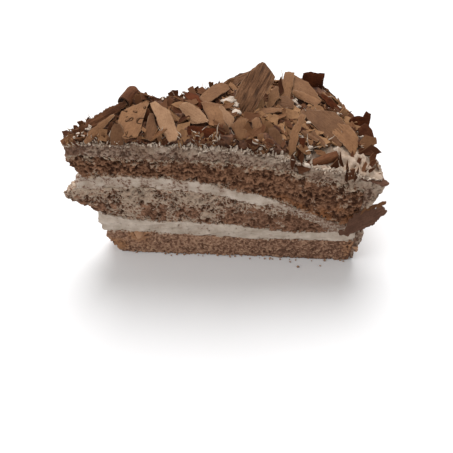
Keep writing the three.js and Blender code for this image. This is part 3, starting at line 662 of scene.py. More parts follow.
# ---- Large shavings -------------------------------------------------------------------
# Flakes planed off a block of chocolate: thin brittle sheets with broken edges. Bloom
# makes their faces matt tan or brown, and the plane leaves fine lines along them. They
# lie loose in the heap, so each is its own piece.
# A shaving is its name, tone, the place of its middle (out along the slice, across, up),
# its lie, bend, curl and outline. Its length turns by the lie's first angle, then climbs by
# the second, and its width tips by the third. bend arches the length and curl rolls the
# width. The outline lists, along the length, the right and the left edge.
FLAKE_THICKNESS = 0.8
FLAKE_POINT_SPACING = 0.42
PLAIN_MARKS = 0.05
RIDGED = {  # how deep the plane's marks are where they are deeper than that
    "peak": 0.26, "behind_peak": 0.25, "fold_tip": 0.2, "brown_right": 0.1, "rim_broad": 0.12,
}
LARGE_SHAVINGS = [
    ("broad_left", "tan", (39.7, -3, 78.3), (48, 19, 12), 12, 0,
     [(-7.9, -1.6, -0.4), (-5.3, -5.3, 2.5), (-2.5, -5.3, 5.3), (1.7, -4, 6), (10.8, -1.4, -0.4)]),
    ("broad_second", "tan", (52.5, -6.6, 78.6), (100, 21, -7), -10, 0,
     [(-9.2, -1.6, 1.2), (-6.9, -3.3, 1.9), (-4.3, -3.3, 2.8), (3.7, -3.1, 3.2), (9.8, 1, 3.4)]),
    ("peak", "brown", (90.6, 5.6, 79.3), (47, 33, 21), 14, 0,
     [(-12, -4.6, 5), (-3, -4.8, 6.2), (6, -6, 4.7), (8, -6, 3.6), (11.7, 0.4, 1.8)]),
    ("wing_left", "tan", (63.7, -5.5, 79.3), (-37, -14, 24), -24, 10,
     [(-6.4, 0, 1.6), (-5, -0.8, 3.6), (1.7, -3.8, 3.1), (7, -0.2, 1)]),
    ("wing_right", "tan", (72.8, -5.2, 78.3), (-78, -23, 8), 10, 0,
     [(-6.6, -3.8, -2), (-3, -3.8, 2.6), (2, -3.6, 2.9), (7, 0.4, 1.8)]),
    ("rounded_front", "tan", (80.8, -13.4, 75.9), (90, 35, -5), 8, 18,
     [(-4.8, -1.4, 1.2), (-2.4, -2.4, 2), (1.6, -3.4, 3.1), (3.6, -3.4, 0.5)]),
    ("strip_front", "tan", (103.6, -15.5, 71.3), (51, 32, 12), 22, 0,
     [(-10, -1.8, 0), (-6.6, -2.6, 1), (-0.5, -1.4, 2.2), (8, -1, 1.4)]),
    ("rim_broad", "tan", (125.5, -12.9, 62.6), (-52, -22, 6), 16, 0,
     [(-9.2, -1.8, 0), (-7.6, -2.2, 2.5), (-2.2, -3.1, 5.7), (4.1, -3.9, 4.5), (8.4, -3.6, -1)]),
    ("elongated_back", "tan", (73.8, 6.9, 78.6), (12, 5, 14), 14, 0,
     [(-6.5, -1.8, 0.4), (-5, -3.8, 1), (-1, -3.2, 3), (5, -1.4, 3.7), (7.6, -0.4, 1.4)]),
    ("behind_peak", "brown", (85.5, 19.2, 73.8), (16, 8, 18), 10, 0,
     [(-6.6, -0.6, 1.4), (-3, -3.1, 2), (2.9, -1.6, 2), (7.8, 0, 1.2)]),
    ("front_long", "brown", (94.9, -17.2, 71.5), (82, 42, 0), 10, 0,
     [(-5.6, -3.2, 2.6), (0.3, -2.8, 3), (4.2, 0, 3)]),
    ("front_upright", "tan", (88.4, -18.8, 72.2), (84, 50, -2), 6, 0,
     [(-5, -1.4, 1.4), (3.3, -1.3, 1.4)]),
    ("square_chip", "tan", (88.5, -10.8, 74.4), (63, 27, 9), 0, 14,
     [(-3, -1, 1), (-1, -3, 1.6), (1.1, -1.4, 2.7), (2.8, -0.4, 1)]),
    ("arch_right", "tan", (111.7, 15.4, 68.4), (-41, -12, 18), 12, 36,
     [(-7.2, -2.6, 3), (-5, -5.2, 5.6), (3.1, -3.9, 5.5), (12.2, -0.4, 0.8)]),
    ("curled_red", "red", (115.1, 9.6, 67), (-49, -12, 13), 0, 50,
     [(-7, -2, -0.6), (-3, -2.7, 1.2), (5.6, -1.3, 3.2)]),
    ("brown_right", "brown", (118, -5.5, 65.6), (-53, -16, 7), 10, 0,
     [(-10, -3.6, -1.6), (-7.8, -3.6, 0.5), (0.2, -4.6, 7.8), (6.3, -4.8, 7), (13.1, -3.8, -2.4)]),
    ("dark_corner", "dark", (121.8, 22.6, 66.6), (-11, -7, 65), 12, 20,
     [(-5.3, -3.4, 1.8), (-2, -6, 2.7), (4.4, -11, 2.2)]),
    ("dark_band", "dark", (126.6, 6.4, 62.6), (-38, -34, 15), 14, 0,
     [(-7.6, -0.6, 1), (-3, -1.7, 2), (8, -0.6, 0.8)]),
    ("fold_tip", "brown", (28.8, 2.6, 78), (14, 18, 36), -10, 50,
     [(-9.8, -1, 0.6), (-5, -2.4, 2.4), (3.8, -2.2, 2), (10.4, -1, 0.6)]),
    ("roll_back", "dark", (40.6, 8.2, 83.2), (58, -6, 20), 0, 290,
     [(-4.4, -6, 6.8), (0, -6.8, 6.8), (4.4, -6.2, 5.8)]),
    ("shaded_left", "brown", (46.6, -6.2, 76), (63, 30, 11), 0, 0,
     [(-5, -3.6, 2.4), (-1, -3.2, 2.2), (6, 0.8, 2.2)]),
    ("wing_end", "brown", (76.5, -7.6, 77.6), (-76, -23, 9), 0, 0,
     [(-5.4, -1, 0.4), (2.1, -1.4, 3.2), (4.8, -1, 0.2)]),
    ("ribbed_back", "dark", (65.4, 5, 78.4), (-57, -11, 10), 20, 0,
     [(-4, -2, 1), (0, -2, 2.4), (5.5, -1.4, 1.6)]),
    # This flake's dark tone is painted shade: it faces the camera below the wing flakes.
    ("shaded_wide", "dark", (66.8, -14.6, 77.4), (-15, -8, 50), 8, 0,
     [(-6.8, -3.2, 2), (0, -3.2, 2.2), (7.8, -2.2, 2.2)]),
    ("narrow_front", "brown", (75.6, -14.8, 75.6), (96, 54, -11), 8, 0,
     [(-4.4, -1, 1), (3.5, -1.1, 0.9)]),
    ("small_pointed", "tan", (99.3, 6.6, 72.9), (56, 23, 11), 0, 0,
     [(-6.3, -0.6, 0.6), (0, -2.5, 2.2), (4.6, -0.6, 0.8)]),
    ("level_middle", "tan", (95.1, -1.1, 72.4), (-11, -1, 15), 8, 0,
     [(-3.4, -1.4, 0.8), (0, -1.6, 1.6), (5.5, -0.8, 0.8)]),
    ("sliver_upper", "tan", (110, -14.3, 67.2), (-37, -14, 24), 0, 0,
     [(-4.2, -0.6, 0.6), (-2.8, -1.2, 1.2), (3.9, -1.2, 0.2)]),
    ("sliver_lower", "brown", (113.2, -15.8, 66.2), (-50, -20, 20), 0, 0,
     [(-4, -1, 1.6), (4.2, -1.2, 0.4)]),
    ("dark_upright", "dark", (104.6, -20.5, 67.5), (68, 54, 11), 0, 10,
     [(-5, -1.4, 1.2), (4.1, -1.2, 1.2)]),
    ("plank_right", "tan", (107.7, 16.4, 69.8), (65, 24, 7), 10, 0,
     [(-6.6, -2.5, 2.3), (0, -2.6, 2.5), (6.4, -2, 2.2)]),
    ("flange_tip", "tan", (26.1, -3.4, 77.2), (22, 23, 34), 8, 0,
     [(-8, -1.6, -0.4), (-4, -2, 1.6), (1, -1.4, 1.6), (8.4, -0.4, 0.6)]),
    ("front_tip", "brown", (33.2, -7.3, 76.2), (72, 50, 8), 0, 0,
     [(-4.3, -2.4, 2.8), (0, -2.9, 2.9), (4.3, -1.4, 1.6)]),
    ("under_arch", "brown", (104.3, 5.4, 69.6), (-24, -7, 24), 0, 0,
     [(-3.8, -2.4, 2), (0, -2.9, 2.9), (3.8, -2, 1)]),
    ("lobed_rim", "dark", (136.6, -3, 62.6), (-8, 0, 55), 10, 20,
     [(-5.5, -2.6, -0.6), (-4, -4.4, 0.6), (-1.5, -6, 0.8), (0.1, -6.4, 0.2), (1.5, -5, 2.8),
      (3.6, -2.6, 1.6)]),
    ("rim_outer", "red", (137.1, -9.6, 60), (-42, -47, 35), 10, 0,
     [(-4, -2.6, 1.4), (0, -4.4, 2.2), (4.4, -1.6, 0.8)]),
    ("rim_level", "tan", (131.4, -2.8, 59.8), (-38, -12, 9), 0, 0,
     [(-4.2, -0.8, 0.8), (0.2, -2.3, 1.7), (3.8, -0.6, 0.6)]),
    ("rim_red", "red", (136.4, -13.4, 57.8), (25, -3, 34), 14, 0,
     [(-6, -1.2, 0.6), (0.6, -3, 3.6), (4.2, -1.2, 0.6)]),
    ("curl_in_cream", "dark", (111, -25, 62.3), (3, 13, 46), 0, 250,
     [(-9, -2.8, 2.8), (-4, -4, 4), (3, -4, 3.6), (8.6, -3, 2.8)]),
    ("spike_rim", "red", (133.1, -32.3, 56), (-23, -8, 27), 0, 0,
     [(-6.3, -1.2, 0), (-4.9, -2, 1.2), (-0.7, -1.9, 1.4), (2.2, -2.3, 3), (4, -2.7, 0.5),
      (6.2, -0.9, -0.3)]),
    ("low_rim", "brown", (129.8, -35.5, 32.7), (0, 30, 46), 10, 24,
     [(-11, -2, -0.1), (-7.8, -3.1, 1), (-4.6, -3.2, 2.4), (-1.2, -3.3, 4.2), (4.8, -3.4, 3.7),
      (10.4, -2.1, 1.6), (12.5, -0.6, 0.4)]),
]


def jagged(places, seed, deep):
    """How far a broken edge strays, with a nick here and there."""
    line = np.stack([places, np.full_like(places, seed * 3.1), np.zeros_like(places)], axis=1)
    nick = np.clip(uneven(line, 2.2, seed + 7) - 0.25, 0, 1)
    return deep * (0.5 * uneven(line, 1.5, seed) + 0.3 * uneven(line, 0.6, seed + 3) - 1.3 * nick)


def rolled(points, axis, turn_per_length):
    """Wraps the sheet round a cylinder below it, by an angle for each millimetre."""
    if abs(turn_per_length) < 1e-6:
        return points
    radius = 1 / turn_per_length
    angle = points[:, axis] * turn_per_length
    reach = radius + points[:, 2]
    points[:, axis] = reach * np.sin(angle)
    points[:, 2] = reach * np.cos(angle) - radius
    return points


def broken_sheet(outline, bend, curl, thickness, lines, seed, spacing, jag):
    """A brittle sheet lying flat, with its points' places along and across it, how near they
    are to its broken edge and how high they stand on the plane's marks."""
    places, rights, lefts = np.array(outline, float).T
    length, width = places[-1] - places[0], lefts.max() - rights.min()
    counts = (max(int(length / spacing), 3), max(int(width / spacing), 3), 1)
    corners, faces = block_shell(counts)
    share, across, up = (corners / counts).T
    along = places[0] + length * share
    right = np.interp(along, places, rights) - jagged(along, seed, jag)
    left = np.interp(along, places, lefts) + jagged(along, seed + 20, jag)
    sideways = right + (left - right) * across
    from_end = np.minimum(share, 1 - share) * length
    end_jag = jagged(sideways + 40 * (share > 0.5), seed + 40, jag)
    along = along + np.sign(share - 0.5) * end_jag * np.clip(1 - from_end / 2, 0, 1)
    from_side = np.minimum(across, 1 - across) * (left - right)
    edge = 1 - soft_step(np.minimum(from_side, from_end), 0, 0.9)
    flat = np.stack([along, sideways, np.full_like(along, seed * 9.7)], axis=1)
    flat[:, 1] += 0.35 * uneven(flat, 4.0, seed + 64) + 0.2 * uneven(flat, 1.5, seed + 65)
    ridge = 0.8 * uneven(flat * [0.14, 1, 1], 0.6, seed + 60)
    ridge += 0.2 * uneven(flat * [0.3, 1, 1], 1.7, seed + 61)
    sag = 0.35 * uneven(flat, 6.0, seed + 62)
    local = thickness * (1 - 0.35 * edge)
    height = (up - 0.5) * local + sag + lines * ridge * (1 - 0.5 * edge)
    points = np.stack([along, sideways, height], axis=1)
    points = rolled(points, 1, math.radians(curl) / width)
    points = rolled(points, 0, math.radians(bend) / length)
    side = np.clip(1 - np.minimum(from_side, from_end) / 0.05, 0, 1)
    paint = {"along": along, "across": sideways, "edge": edge, "side": side, "ridge": 0.5 + 0.5 * ridge}
    return points, faces, paint


def turned_by(turn, pitch, roll):
    lie = Euler((math.radians(roll), math.radians(-pitch), math.radians(turn)), "XYZ")
    return np.array(lie.to_matrix())


def laid(points, at, lie):
    return points @ turned_by(*lie).T + np.array(at)


def wrinkles(finish):
    """Short crooked creases, where the sheet buckled in front of the plane."""
    bent = finish.clouds(3.6, 0.5, 0.6, detail=1.0, rough=0.5)
    crease = finish.times(finish.times(bent, finish.ramp(bent, 0.5, 1.0, 1.0, 0.0)), 5.0)
    return finish.times(crease, finish.clouds(3.0, 0.54, 0.62, detail=0.0))


def flake_finish(name, face, bloom, fresh, lined, ridged=0.0, gloss=0.15, rim=0.45):
    """Chocolate with bloom on its face, the plane's fine lines and darker broken edges, with a
    painted highlight along the edges and painted shade in the grooves and creases.
    """
    finish = Finish(name, roughness=0.62, gloss=gloss)
    lengthways = finish.add(
        "ShaderNodeCombineXYZ", {"X": finish.painted("along"), "Y": finish.painted("across")}
    ).outputs[0]
    stretched = finish.add(
        "ShaderNodeVectorMath", {0: lengthways, 1: (0.0001, 0.001, 0.001)}, operation="MULTIPLY"
    ).outputs[0]
    lines = finish.noise(0.55, 3.0, 0.65, stretched)
    body = finish.blend(finish.clouds(5.0, 0.32, 0.68), face, bloom)
    # Paler towards the edge: partly bloom, partly a painted highlight.
    body = finish.blend(finish.ramp("edge", 0.3, 0.9, 0.0, 0.35), body, bloom)
    body = finish.blend(finish.ramp(lines, 0.5, 0.75, 0.0, lined), body, fresh)
    # Darker in the grooves between the plane's ridges: painted shade.
    body = finish.blend(finish.ramp("ridge", 0.55, 0.2, 0.0, ridged), body, fresh)
    body = finish.blend(finish.clouds(0.8, 0.5, 0.75, 0.0, 0.5, 4.0, 0.7), body, fresh)
    body = finish.blend(finish.times("tone", 0.3), body, fresh)
    # A pale rim along the broken edge, as strong as rim: a painted highlight.
    edge_highlight = finish.times(finish.ramp("edge", 0.8, 0.97, 0.0, rim), finish.clouds(2.0, 0.4, 0.6))
    body = finish.blend(edge_highlight, body, "c7a98c")
    body = finish.blend(finish.times("side", 0.5), body, fresh)
    # Darker in the creases: painted shade.
    creased = finish.times("wrinkled", wrinkles(finish))
    finish.coat_with(finish.blend(finish.times(creased, 0.19), body, fresh))
    finish.relief(finish.sum(lines, finish.times(creased, 2.0)), 0.35 + 0.5 * ridged, 0.9)
    return finish.material


FLAKE_FINISHES = {
    "tan": flake_finish("bloomed_chocolate", "775338", "8e6747", "4a2c1b", 0.3),
    # The pale finish is the tan painted lighter: painted light on the flakes that catch the most light.
    "pale": flake_finish("painted_lit_chocolate", "8b684c", "a07c5e", "5a3925", 0.25),
    "brown": flake_finish("planed_chocolate", "67462f", "7c583d", "38200f", 0.5),
    "bark": flake_finish("ridged_chocolate", "6e4b33", "805b40", "2a160b", 0.75, 0.75),
    "dark": flake_finish("dark_chocolate", "38180b", "64341c", "200e06", 0.35, 0.0, 0.06, 0.12),
    "red": flake_finish("warm_chocolate", "57301d", "70452e", "331509", 0.35, 0.0, 0.08, 0.2),
    "wine": flake_finish("reddish_chocolate", "65483a", "765545", "37221a", 0.5, 0.3, 0.08, 0.3),
    "rolled": flake_finish("rolled_chocolate", "55321f", "784f35", "1d0d06", 0.55, 0.3, 0.08, 0.2),
}
FINISH_OF = {
    "peak": "bark", "behind_peak": "bark", "broad_second": "pale", "wing_left": "pale",
    "low_rim": "wine", "spike_rim": "wine", "roll_back": "rolled", "curl_in_cream": "rolled",
    "fold_tip": "rolled", "wing_end": "pale", "curled_red": "tan",
}
WORN = {  # how far the darker inside shows in a flake's face
    "broad_left": 0.1, "broad_second": 0.0, "rim_broad": 0.1, "brown_right": 0.75, "peak": 0.3,
    "curled_red": 0.2,
}
PLAIN_EDGE = 0.5
FRAYED = {  # how far a broken edge strays where it strays further than that
    "low_rim": 1.5, "spike_rim": 0.8, "lobed_rim": 0.8, "fold_tip": 1.2, "rim_broad": 0.9,
}
FINE_POINT_SPACING = 0.2  # on flakes with deep marks
for number, (name, tone, at, lie, bend, curl, outline) in enumerate(LARGE_SHAVINGS):
    spacing = FINE_POINT_SPACING if name in RIDGED else FLAKE_POINT_SPACING
    points, faces, paint = broken_sheet(
        outline, bend, curl, FLAKE_THICKNESS, RIDGED.get(name, PLAIN_MARKS), 700 + number,
        spacing, FRAYED.get(name, PLAIN_EDGE),
    )
    paint["tone"] = np.full(len(points), WORN.get(name, number * 0.37 % 1))
    paint["wrinkled"] = np.full(len(points), float(name == "broad_left"))
    finish = FLAKE_FINISHES[FINISH_OF.get(name, tone)]
    piece = make_piece("flake_" + name, laid(points, at, lie), faces, finish, crease=45, **paint)
    settle(piece, "chocolate_" + tone, "shaving_" + name)


# ---- Heap of small shavings -----------------------------------------------------------
# What the large shavings lie on: hundreds of small broken flakes, packed a few deep on
# the cream, with dark crumbs of chocolate between them.
HEAP_STARTS, HEAP_ENDS = 11.6, 134
HEAP_EDGE = 13.6  # how far round it reaches on both cuts
BARE_CORNER = 6.5  # degrees of bare cream at the front corner of the rim
HEAP_DEPTH = 2.8
CORE_COUNTS = (170, 72, 5)
SHARD_THICKNESS = 0.5


def heap_front(out):
    return -HEAP_EDGE + BARE_CORNER * soft_step(out, 95, 124)


def heap_top(out, turn):
    from_ends = soft_step(out, HEAP_STARTS - 3, HEAP_STARTS + 11)
    from_ends *= 1 - soft_step(out, HEAP_ENDS - 10, HEAP_ENDS + 4)
    from_back = 1 - 0.8 * soft_step(turn, 7, HEAP_EDGE)
    bumps = 0.9 * np.sin(out * 0.42 + turn * 0.9) * np.cos(out * 0.23 - turn * 0.7)
    bumps += 3.2 * hump(out, 68, 20) + 4 * hump(out, 45, 8) * hump(turn, 7, 6)
    under_roll = 4.5 * hump(out, 42, 6) * hump(turn, 10, 3.5)
    heaped = np.maximum((HEAP_DEPTH + bumps) * from_ends * from_back, 0.7) + under_roll
    return cream_height(out, turn) + 0.5 + heaped


def within_outline(points, at, lie, outline, from_ends, from_sides):
    """Which points lie this far inside a flake's outline, seen square to the flake, and how
    high each point is above it."""
    places, rights, lefts = np.array(outline, float).T
    along, beside, above = ((points - np.array(at)) @ turned_by(*lie)).T
    inside = (along > places[0] + from_ends) & (along < places[-1] - from_ends)
    inside &= beside > np.interp(along, places, rights) + from_sides
    inside &= beside < np.interp(along, places, lefts) - from_sides
    return inside, above


corners, faces = block_shell(CORE_COUNTS)
along, across, up = (corners / CORE_COUNTS).T
out = HEAP_STARTS + (HEAP_ENDS - HEAP_STARTS) * along
front = heap_front(out)
turn = front + (HEAP_EDGE - front) * across
low = cream_height(out, turn) - 0.3
height = low + (heap_top(out, turn) - 0.6 - low) * up
flat = along_slice(out, turn, height)
edge = np.where(across == 0, -1.0, np.where(across == 1, 1.0, 0.0))
rough = 0.9 * uneven(flat * [1, 1, 0.6], 2.4, 91) + 0.4 * uneven(flat, 0.9, 92) - 0.3
layered = np.abs(uneven(flat, 3.0, 93)) + 0.5 * uneven(flat, 1.1, 94)
points = along_slice(out, turn, height + 0.9 * layered * up, edge * rough)
# The heap gives way under a large flake that lies on it.
for name, tone, at, lie, bend, curl, outline in LARGE_SHAVINGS:
    if abs(lie[1]) < 38 and abs(lie[2]) < 30 and abs(curl) < 100:
        under, above = within_outline(points, at, lie, outline, -0.6, -0.6)
        sunk = np.where(under, np.clip(above + 1.2, 0, 3.4), 0)
        points = points - np.outer(sunk, turned_by(*lie)[:, 2])
crumbled = Finish("crumbled_chocolate", roughness=0.7, gloss=0.3)
crumbled.coat_with(crumbled.blend(crumbled.clouds(2.2, 0.38, 0.62, detail=4.0), "3a2014", "6b4630"))
crumbled.relief(crumbled.noise(1.0, 4.0, 0.7), 0.5, 1.0)
heap_core = make_piece("heap_core", points, faces, crumbled.material)
settle(heap_core, "chocolate_small", "shavings_heap")
core_points = points


def under_flake(points, at, lie, outline):
    """Which points of the heap's top lie close under a flake, so nothing pokes through it."""
    inside, above = within_outline(points, at, lie, outline, 0.8, 0.5)
    return inside & (np.abs(above) < 3.5)


def shard(random, length, width, bend, lift):
    """A small broken flake: an uneven plate with sharp corners and nicks, slightly bent."""
    corners = int(random.integers(4, 7))
    angles = (np.arange(corners) + random.uniform(-0.4, 0.4, corners)) * 2 * math.pi / corners
    tips = np.stack([np.cos(angles), np.sin(angles)], axis=1) * random.uniform(0.8, 1.25, (corners, 1))
    nicks = (tips + np.roll(tips, -1, axis=0)) / 2 * random.uniform(0.8, 1.12, (corners, 1))
    rim = np.stack([tips, nicks], axis=1).reshape(-1, 2) * [length / 2, width / 2]
    sides = len(rim)
    flat = np.concatenate([rim, 0.55 * rim, [[0, 0]]])
    sag = bend * ((flat[:, 0] / length) ** 2 - 0.1) * length + 0.1 * random.uniform(-1, 1, len(flat))
    top = np.column_stack([flat, sag + lift + SHARD_THICKNESS / 2])
    points = np.concatenate([top, top - [0, 0, SHARD_THICKNESS]])
    faces, count = [], len(flat)
    for n in range(sides):
        m = (n + 1) % sides
        upper = [(n, m, sides + m), (n, sides + m, sides + n), (sides + n, sides + m, 2 * sides)]
        lower = [(m, n, sides + m), (n, sides + n, sides + m), (sides + m, sides + n, 2 * sides)]
        faces += upper + [tuple(count + corner for corner in face) for face in lower]
        faces += [(n, count + n, m), (m, count + n, count + m)]
    outer = np.tile(np.concatenate([np.ones(sides), np.zeros(sides + 1)]), 2)
    return points, np.array(faces), {"edge": outer}


def shards(number, lengths, narrow, bend, lift, seed):
    random = np.random.default_rng(seed)
    made = []
    for length in random.uniform(*lengths, number):
        width = length / random.uniform(*narrow)
        made.append(shard(random, length, width, random.uniform(-bend, bend), lift))
    return made


def kinds_of(name, shapes):
    """A collection of loose pieces to scatter, none of them like another."""
    collection = bpy.data.collections.new(name)
    for index, (points, faces, paint) in enumerate(shapes):
        points = points + SLICE_CENTRE
        kind = make_piece(f"{name}_{index}", points, faces, crumbled.material, crease=25, **paint)
        bpy.context.scene.collection.objects.unlink(kind)
        collection.objects.link(kind)
    return collection


def laid_on_surface():
    """A tree that scatters broken pieces over a surface, each tipped by its own amount."""
    tree = bpy.data.node_groups.new("laid_on_surface", "GeometryNodeTree")
    sockets = (
        ("Surface", "NodeSocketGeometry", None), ("Kinds", "NodeSocketCollection", None),
        ("Finish", "NodeSocketMaterial", None), ("Per square metre", "NodeSocketFloat", 60000.0),
        ("Smallest", "NodeSocketFloat", 0.5), ("Largest", "NodeSocketFloat", 1.3),
        ("Tilt", "NodeSocketFloat", 0.5), ("Upright", "NodeSocketFloat", 0.0),
        ("Spin", "NodeSocketFloat", 1.0), ("Seed", "NodeSocketInt", 1),
    )
    for name, kind, value in sockets:
        socket = tree.interface.new_socket(name, in_out="INPUT", socket_type=kind)
        if value is not None:
            socket.default_value = value
    tree.interface.new_socket("Pieces", in_out="OUTPUT", socket_type="NodeSocketGeometry")
    given = add_node(tree, "NodeGroupInput").outputs

    def step(kind, inputs, **settings):
        return add_node(tree, kind, inputs, **settings).outputs[0]

    def painted(label):
        named = add_node(tree, "GeometryNodeInputNamedAttribute", {"Name": label}, data_type="FLOAT")
        return named.outputs["Attribute"]

    def own_seed(shift):
        return step("ShaderNodeMath", {0: given["Seed"], 1: shift}, operation="ADD")

    def random_number(low, high, shift):
        inputs = {2: low, 3: high, "Seed": own_seed(shift)}
        return add_node(tree, "FunctionNodeRandomValue", inputs, data_type="FLOAT").outputs[1]

    def random_turn(most, share, shift):
        """A turn about each axis of up to so much either way, times a share."""
        inputs = {0: [-part for part in most], 1: most, "Seed": own_seed(shift)}
        turn = step("FunctionNodeRandomValue", inputs, data_type="FLOAT_VECTOR")
        return step("ShaderNodeVectorMath", {0: turn, 3: share}, operation="SCALE")

    density = step(
        "ShaderNodeMath", {0: painted("cover"), 1: given["Per square metre"]}, operation="MULTIPLY"
    )
    spots = add_node(
        tree, "GeometryNodeDistributePointsOnFaces",
        {"Mesh": given["Surface"], "Density": density, "Seed": given["Seed"]},
    ).outputs
    shade = step(
        "ShaderNodeMath", {0: random_number(0.0, 1.0, 11.0), 1: painted("lightness")},
        operation="MULTIPLY",
    )
    tone = step(
        "GeometryNodeStoreNamedAttribute",
        {"Geometry": spots["Points"], "Name": "tone", "Value": shade},
        data_type="FLOAT", domain="POINT",
    )
    tilt = random_turn((1, 1, 0), given["Tilt"], 21.0)
    spin = random_turn((0, 0, 3.1416), given["Spin"], 31.0)
    turn = step("ShaderNodeVectorMath", {0: tilt, 1: spin}, operation="ADD")
    raised = step(
        "FunctionNodeAlignRotationToVector",
        {"Rotation": spots["Rotation"], "Factor": given["Upright"], "Vector": (0, 0, 1)},
        axis="X", pivot_axis="Z",
    )
    tipped = step(
        "FunctionNodeRotateRotation",
        {"Rotation": raised, "Rotate By": step("FunctionNodeEulerToRotation", {0: turn})},
        rotation_space="LOCAL",
    )
    grown = random_number(given["Smallest"], given["Largest"], 41.0)
    kinds = step(
        "GeometryNodeCollectionInfo",
        {"Collection": given["Kinds"], "Separate Children": True, "Reset Children": True},
    )
    laid_out = step(
        "GeometryNodeInstanceOnPoints",
        {"Points": tone, "Instance": kinds, "Pick Instance": True, "Rotation": tipped, "Scale": grown},
    )
    realized = step("GeometryNodeRealizeInstances", {"Geometry": laid_out})
    finished = step("GeometryNodeSetMaterial", {"Geometry": realized, "Material": given["Finish"]})
    add_node(tree, "NodeGroupOutput", {0: finished})
    return tree


def scatter(name, surface, cover, lightness, kinds, material, **sizes):
    """Lays pieces of these kinds over a copy of a surface and makes them one mesh."""
    holder = bpy.data.objects.new(name, surface.data.copy())
    bpy.context.scene.collection.objects.link(holder)
    for label, values in (("cover", cover), ("lightness", lightness)):
        holder.data.attributes.new(label, "FLOAT", "POINT").data.foreach_set("value", values.astype(float))
    modifier = holder.modifiers.new("laid", "NODES")
    modifier.node_group = SCATTER_TREE
    given = {key.replace("_", " ").capitalize(): value for key, value in sizes.items()}
    given |= {"Kinds": kinds, "Finish": material}
    for socket in SCATTER_TREE.interface.items_tree:
        if socket.in_out == "INPUT" and socket.name in given:
            modifier[socket.identifier] = given[socket.name]
    bpy.context.view_layer.update()
    evaluated = holder.evaluated_get(bpy.context.evaluated_depsgraph_get())
    mesh = bpy.data.meshes.new_from_object(evaluated)
    bpy.data.objects.remove(holder)
    mesh.name = name
    piece = bpy.data.objects.new(name, mesh)
    bpy.context.scene.collection.objects.link(piece)
    return piece


SCATTER_TREE = laid_on_surface()
# Shavings of middling size, each with a place of its own: x, y and height of its middle,
# its lie, length, width and tone.
MIDDLE_SHAVINGS = [
    (27.5, -6.5, 75.8, 30, 30, 35, 5.7, 4.6, 0.7), (56, -2.5, 77.8, -45, -20, 25, 7, 2.4, 0.8),
    (59, -1, 77.5, -35, -15, 20, 7, 2.6, 0.2), (59.5, -10, 78.2, -30, -15, 30, 5.8, 5.4, 0.9),
    (59, -14, 76.8, -45, -30, 35, 4.5, 4.2, 0.7), (66, 8, 78.6, -35, -10, 20, 6.4, 5.8, 0.3),
    (87, -6.5, 75.3, -25, -5, 25, 7, 5, 0.3), (93, -11.5, 73.4, -50, -25, 25, 7, 3.3, 0.6),
    (96, -7, 72, -45, -20, 25, 6.5, 3.5, 0.9), (104.5, 15, 70, 65, 40, 10, 7.6, 3.2, 0.1),
    (102, -2.5, 69.5, -55, -25, 20, 5.7, 2.7, 0.6), (106, -1.5, 68.6, -40, -15, 20, 6, 4, 0.8),
    (108, -7.5, 67.4, -25, -10, 25, 6.4, 3.1, 0.7), (113, -21.5, 65, -30, -10, 30, 7, 2, 0.5),
    (113.5, -16.5, 65.4, -30, -10, 25, 8, 5, 0.9), (129.5, -1.5, 61.4, -25, -5, 20, 8, 3, 0.9),
    (131, -5.5, 60.8, -25, -5, 20, 8.3, 2.4, 0.7), (133, 1, 59.4, -90, -20, 5, 5.5, 4, 0.3),
    (135, -15.5, 60.4, 10, 15, 40, 8.2, 5.6, 0.5), (134.5, -21, 58.6, -15, -10, 50, 8.2, 6.2, 0.1),
    (70, 12, 78.5, -40, 15, 20, 6, 3, 0.3), (50, 8, 79, -20, 10, 35, 5, 3, 0.2),
    (53, 3, 78.5, 60, 10, 0, 6, 3.5, 0.3), (97, 12, 72.5, 30, 10, 15, 7, 4, 0.7),
    (92, -14, 73, 80, 45, 0, 8, 4, 0.6), (84, -15, 75, 70, 40, 10, 6, 4, 0.4),
    (48.6, 5.2, 80.2, 20, 30, 40, 4, 3, 0.15), (64, 4, 80, -30, -5, 15, 6, 3, 0.4),
    (58, 14, 77.5, 10, 20, 50, 5, 3, 0.2), (74.5, 16.5, 80, 95, 75, 10, 5, 2.2, 0.5),
    (77.5, 17, 79, 80, 78, -20, 4.6, 1.6, 0.45), (76, 17, 81, 5, 0, 60, 4, 2, 0.5),
    (82, 17, 79, 20, 25, 50, 6, 2.4, 0.5), (68, 13.5, 79, 60, 50, 20, 4, 2, 0.2),
]
# Torn lips along the upper edge of the shaving that hangs low on the rim.
LOW_FRINGE = [
    (132, -33.4, 36.8, 10, 35, 60, 6, 2.4, 0.42), (135.4, -33.2, 38.8, 0, 20, 70, 6, 2.6, 0.36),
    (138.6, -33.8, 40.2, -10, 45, 60, 5, 2, 0.45),
]
